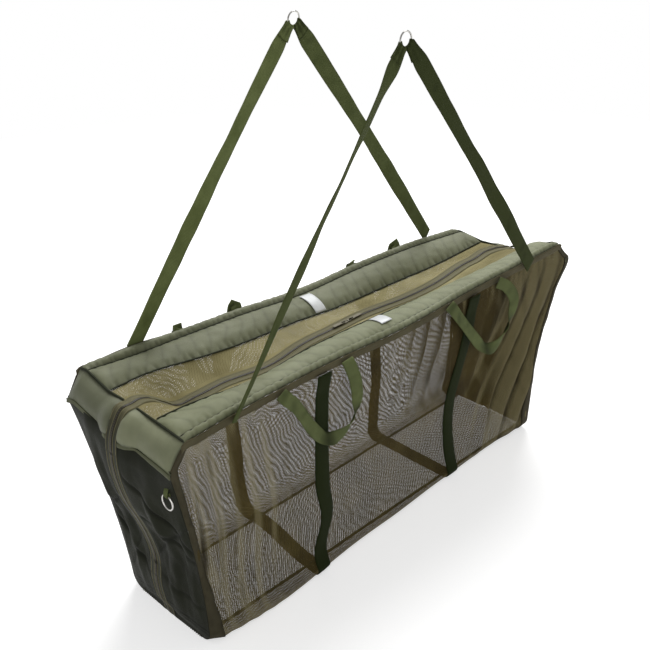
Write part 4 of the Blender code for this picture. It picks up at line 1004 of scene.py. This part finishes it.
def makeStrap(endName, sideName):
    end, side = ends[endName], sides[sideName]
    shape, limb = strapShape, strapLimbs[(sideName, endName)]
    radius, loop, footZ = shape["ringRadius"], shape["loop"], limb["footZ"]
    middle, nearFoot, farFoot, lean = shape["hinge"][sideName]
    ring = Vector((0, shape["ringZ"]))
    foot = Vector((end * shape["footX"] + limb["creep"], nearFoot if end < 0 else farFoot))
    grip = ring + Vector((end * math.sin(shape["grip"]), -math.cos(shape["grip"]))) * radius
    fall = (foot - grip).normalized()
    aside = Vector((end * -fall.y, end * fall.x))
    twistTop, twistFoot = (math.radians(a) for a in limb["twist"])
    hinge = Vector((0, side * shape["offset"], middle))
    hingeLine = Vector((2 * shape["footX"], 0, farFoot - nearFoot)).normalized()
    tilt = Matrix.Rotation(math.radians(lean) * side, 3, hingeLine)
    total = (footZ - grip.y) / fall.y
    # how far each row of the webbing lies from the ring, and how far off its plane: the limb, the turn round the
    # ring, and the sewn tail behind
    count, bends = 90, 15
    runs = [(mix(total, 0.075, i / count), 0.0) for i in range(count + 1)]
    runs += [(mix(0.075, 0.004, i / bends), 0.0) for i in range(1, bends + 1)]
    for i in range(13):
        angle = -math.pi / 2 + math.pi * i / 12
        runs.append((-loop * math.cos(angle), loop + loop * math.sin(angle)))
    runs += [(3 * loop, 0.003)] + [(3 * loop + shape["tail"] * k / 6, 0.003) for k in range(1, 7)]
    rows = len(runs) - 1

    def spot(u, v):
        i = round(v * rows)
        run, lift = runs[i]
        across = 2 * u - 1
        turn = shape["grip"] + across * shape["wrap"]
        reach = radius + min(run, loop)
        wrapped = ring + Vector((end * math.sin(turn), -math.cos(turn))) * reach + fall * max(0, run - loop)
        plain = grip + fall * run + aside * across * (shape["width"] / 2)
        share = ease((run - loop) / shape["gather"])
        point = wrapped.lerp(plain, share)
        depth = 0.0
        if i <= count + bends:  # the limb itself turns and bows; the loop and its sewn tail don't
            along = min(1.0, run / total)
            swing = bow(along)
            angle = mix(twistTop, twistFoot, along) * ease((run - 0.02) / 0.09)
            angle += math.radians(9) * math.sin(2 * math.pi * (along * 1.4 + 0.2 * end)) * swing
            line = grip + fall * run
            arm = point - line
            point = line + arm * math.cos(angle)
            point += aside * (0.004 * swing + 0.0025 * rough(run * 8, 3.0, 81.0 + side) * swing)
            depth = arm.length * (1 if across > 0 else -1) * math.sin(angle)
            depth += 0.0035 * rough(run * 9, 0.0, 80.0 + end + 3 * side) * swing
            depth += 0.003 * across * rough(run * 14, 1.0, 82.0 + side) * swing
            depth += 0.0016 * math.sin(across * 7.0) * (1 - share) * ease((run - loop) / 0.01)
        at = Vector((point.x, side * (shape["offset"] - lift) - depth, point.y))
        return hinge + tilt @ (at - hinge)

    def mark(u, v):
        run = runs[round(v * rows)][0]
        crimped = (0.5 - 0.5 * math.sin((2 * u - 1) * 7.0)) * (1 - ease(run / shape["gather"]))
        sewn = hump(run, 0.02, 0.0016) + hump(run, 0.034, 0.0016)  # the bar of stitching that closes the loop
        bent = max(0.0, rough(run * 40, u, 84.0 + side) - 0.25)
        # painted shade: each limb's share, and more in the crimps at the ring; the bar of stitching and random creases
        # are marked darker too
        return limb["paintedShade"] + 0.6 * crimped + 0.5 * sewn + 0.5 * bent

    mesh = gridMesh(endName + sideName.capitalize() + "Strap", 8, rows, spot, (shape["width"], total + 0.04), mark=mark)
    piece = place(mesh, strapWebbing, None, (f"{endName}_{sideName}_strap",), shape["thickness"])
    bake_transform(piece)


handleShape = {"width": 0.03, "thickness": 0.0018, "offset": 0.188}
handleLines = {
    # each handle's middle line as it hangs in the photograph, in millimetres: along the bag, height, and how far it
    # stands off
    ("front", "near"): ((-377, 566, -6), (-370, 555, 1), (-342, 520, 3), (-306, 456, 4), (-275, 416, 5),
                        (-245, 399, 5), (-205, 401, 5), (-178, 423, 5), (-168, 455, 5), (-171, 509, 4),
                        (-184, 553, 1), (-187, 566, -6)),
    ("front", "far"): ((155, 566, -6), (162, 555, 1), (195, 511, 3), (232, 463, 4), (271, 416, 5), (305, 393, 5),
                       (337, 394, 5), (373, 420, 5), (393, 463, 5), (397, 500, 5), (370, 540, 2), (340, 560, -4)),
    ("back", "near"): ((-352, 554, -4), (-352, 566, 0), (-350, 572, 6), (-347, 560, 12), (-335, 500, 14),
                       (-300, 420, 12), (-262, 395, 10), (-222, 410, 12), (-196, 480, 14), (-184, 555, 12),
                       (-181, 568, 5), (-181, 552, -3)),
    ("back", "far"): ((212, 524, -4), (212, 536, 0), (213, 541, 6), (216, 528, 12), (232, 470, 14), (262, 395, 12),
                      (300, 372, 10), (338, 392, 12), (366, 460, 14), (378, 525, 12), (382, 540, 5), (383, 522, -3)),
}


def makeHandle(endName, sideName):
    side = sides[sideName]
    line = smoothPath([Vector((x, side * (handleShape["offset"] + off), z))
                       for x, z, off in metres(handleLines[(sideName, endName)])], 0.005)

    def reach(i):
        face = Vector((0, side, 0))
        across = runAt(line, i).normalized().cross(face)
        across = across.normalized() if across.length > 0.2 else Vector((1, 0, 0))
        share = i / (len(line) - 1)
        turn = 0.0
        if side < 0:  # it folds over at the bottom of its bow and again before it climbs
            turn = math.radians(48) * hump(share, 0.46, 0.07) - math.radians(38) * hump(share, 0.66, 0.06)
            turn += math.radians(14) * math.sin(9 * share)
        return (across * math.cos(turn) + face * math.sin(turn)) * (handleShape["width"] / 2)

    def mark(u, v):
        worn = 0.5 * max(0.0, rough(v * 22, u, 86.0 + side))
        # painted shade at the two fold-overs; the rest is random dark wear
        return 0.75 * hump(v, 0.46, 0.045) + 0.8 * hump(v, 0.69, 0.03) + worn

    piece = ribbon(endName + sideName.capitalize() + "Handle", line, reach, handleShape["thickness"], handleWebbing,
                   None, (f"{endName}_{sideName}_handle",), columns=6, mark=mark)
    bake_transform(piece)


def makeTab():
    pivot = Vector((-0.65028, -0.14555, 0.445))
    radius = 0.004
    steps = [(0.0075, 0.028), (0.004, 0.018), (0.0042, 0.008)]
    steps += [(radius * math.cos(math.pi * i / 8), -radius * math.sin(math.pi * i / 8)) for i in range(9)]
    steps += [(-0.002, 0.008), (0.0012, 0.018)]
    line = [pivot + Vector((x, 0, z)) for x, z in steps]
    piece = ribbon("cornerRingTab", line, lambda i: Vector((0, 0.006, 0)), 0.0014, handleWebbing, "front_half",
                   ("corner_ring_tab",), columns=3)


def makePatch(sideName):  # a blank strip of reflective tape over the float's wide channel
    side = sides[sideName]

    def spot(u, v):
        x = mix(-0.026, 0.008, u)
        ridge, inner = seam(sideName, "ridge", x), seam(sideName, "inner", x)
        t = mix(0.16, 0.97, v) if side > 0 else mix(0.2, 0.76, v)
        stand = floatShape["panelCrown"] * 1.08 * pillow(t, 2.3) + 0.0016
        point = ridge.lerp(inner, t) + upward(inner - ridge) * stand
        return x, side * point.x, point.y

    mesh = gridMesh(sideName + "BlankPatch", 8, 14, spot, (0.034, 0.06))
    piece = place(mesh, patchTape, sideName + "_half", (sideName + "_blank_patch",), 0.0006)


# Build

for sideName in sides:
    for make in (makeFloat, makeWall, makeBinding, makeFlap, makePatch):
        make(sideName)
    for endName in ends:
        for make in (makeEndPad, makeEndWall, makeCornerTape, makeBand, makeStrap, makeHandle):
            make(endName, sideName)
    print(sideName, "half made")
makeZip()
makeBase()
makeTab()
for name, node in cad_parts.items():
    finish = None
    if "ring" in name and "tab" not in name:
        finish = steel
    elif "slider" in name or "pull" in name or "stop" in name:
        finish = zinc
    if finish:
        node.data.materials.clear()
        node.data.materials.append(finish)
print("zip, base and fittings made")


# Floor, light and camera

def makeFloor():
    material, tree, shader = startMaterial("matt_studio_floor", "#E4E4E4", 0.9)
    glow = addNode(tree, "Emission", {0: "#FFFFFF", 1: 0.56})
    plain = addNode(tree, "AddShader", {0: shader, 1: glow})
    path = addNode(tree, "LightPath").outputs
    seen = path["Is Camera Ray"]
    for ray in ("Is Glossy Ray", "Is Transmission Ray"):
        seen = addNode(tree, "Math", {0: seen, 1: path[ray]}, operation="ADD", use_clamp=True)
    # plain white further out, like a paper sweep
    away = addNode(tree, "VectorMath", {0: addNode(tree, "TexCoord").outputs["Object"]}, operation="LENGTH")
    fade = addNode(tree, "MapRange", {0: away, 1: 1.6, 2: 3.6})
    paper = addNode(tree, "Emission", {0: "#FFFFFF", 1: 1.0})
    sweep = addNode(tree, "MixShader", {0: fade, 1: plain, 2: paper})
    choose = addNode(tree, "MixShader", {0: seen, 1: shader, 2: sweep})
    tree.links.new(choose.outputs[0], tree.nodes["Material Output"].inputs[0])
    width = 28
    mesh = gridMesh("studioFloor", 1, 1, lambda u, v: (width * (u - 0.5), width * (v - 0.5), 0), (width, width))
    mesh.materials.append(material)
    floor = bpy.data.objects.new("studioFloor", mesh)
    bpy.context.scene.collection.objects.link(floor)


def makeLight(name, spot, aim, size, power):
    light = bpy.data.lights.new(name, "AREA")
    light.shape = "DISK"
    light.size = size
    light.energy = power
    lamp = bpy.data.objects.new(name, light)
    lamp.location = spot
    lamp.rotation_euler = (Vector(aim) - Vector(spot)).to_track_quat("-Z", "Y").to_euler()
    bpy.context.scene.collection.objects.link(lamp)


def makeWorld():
    world = bpy.data.worlds.new("studioAir")
    world.use_nodes = True
    tree = world.node_tree
    base = tree.nodes["Background"]
    base.inputs[0].default_value = linear("#FFFFFF")
    base.inputs[1].default_value = 0.4
    white = addNode(tree, "Background", {0: "#FFFFFF", 1: 1.0})
    path = addNode(tree, "LightPath")
    choose = addNode(tree, "MixShader", {0: path.outputs["Is Camera Ray"], 1: base, 2: white})
    tree.links.new(choose.outputs[0], tree.nodes["World Output"].inputs[0])
    bpy.context.scene.world = world


def makeCamera():  # placed and aimed as the photograph's, from the bag's corners in it
    view = bpy.data.cameras.new("photoView")
    view.sensor_width = 36
    view.lens = 57.25
    yaw, pitch, roll = math.radians(-43.9), math.radians(28.05), math.radians(-1.67)
    back = Vector((math.sin(yaw) * math.cos(pitch), -math.cos(yaw) * math.cos(pitch), math.sin(pitch)))
    right = Vector((math.cos(yaw), math.sin(yaw), 0))
    up = back.cross(right)
    turnedRight = right * math.cos(roll) + up * math.sin(roll)
    turnedUp = up * math.cos(roll) - right * math.sin(roll)
    eye = bpy.data.objects.new("photoView", view)
    bpy.context.scene.collection.objects.link(eye)
    pose = Matrix((turnedRight, turnedUp, back)).transposed().to_4x4()
    pose.translation = Vector((-1.539, -1.523, 1.665))
    eye.matrix_world = pose
    bpy.context.scene.camera = eye


makeFloor()
makeWorld()
makeLight("keyLight", (3.1, 2.5, 5.2), (0, 0, 0.3), 4.0, 345)
makeLight("fillLight", (-2.2, -3.0, 2.4), (0, 0, 0.4), 2.4, 22)
makeCamera()
bpy.context.scene.view_settings.view_transform = "Standard"
print("floor, light and camera made")

bpy.context.view_layer.update()
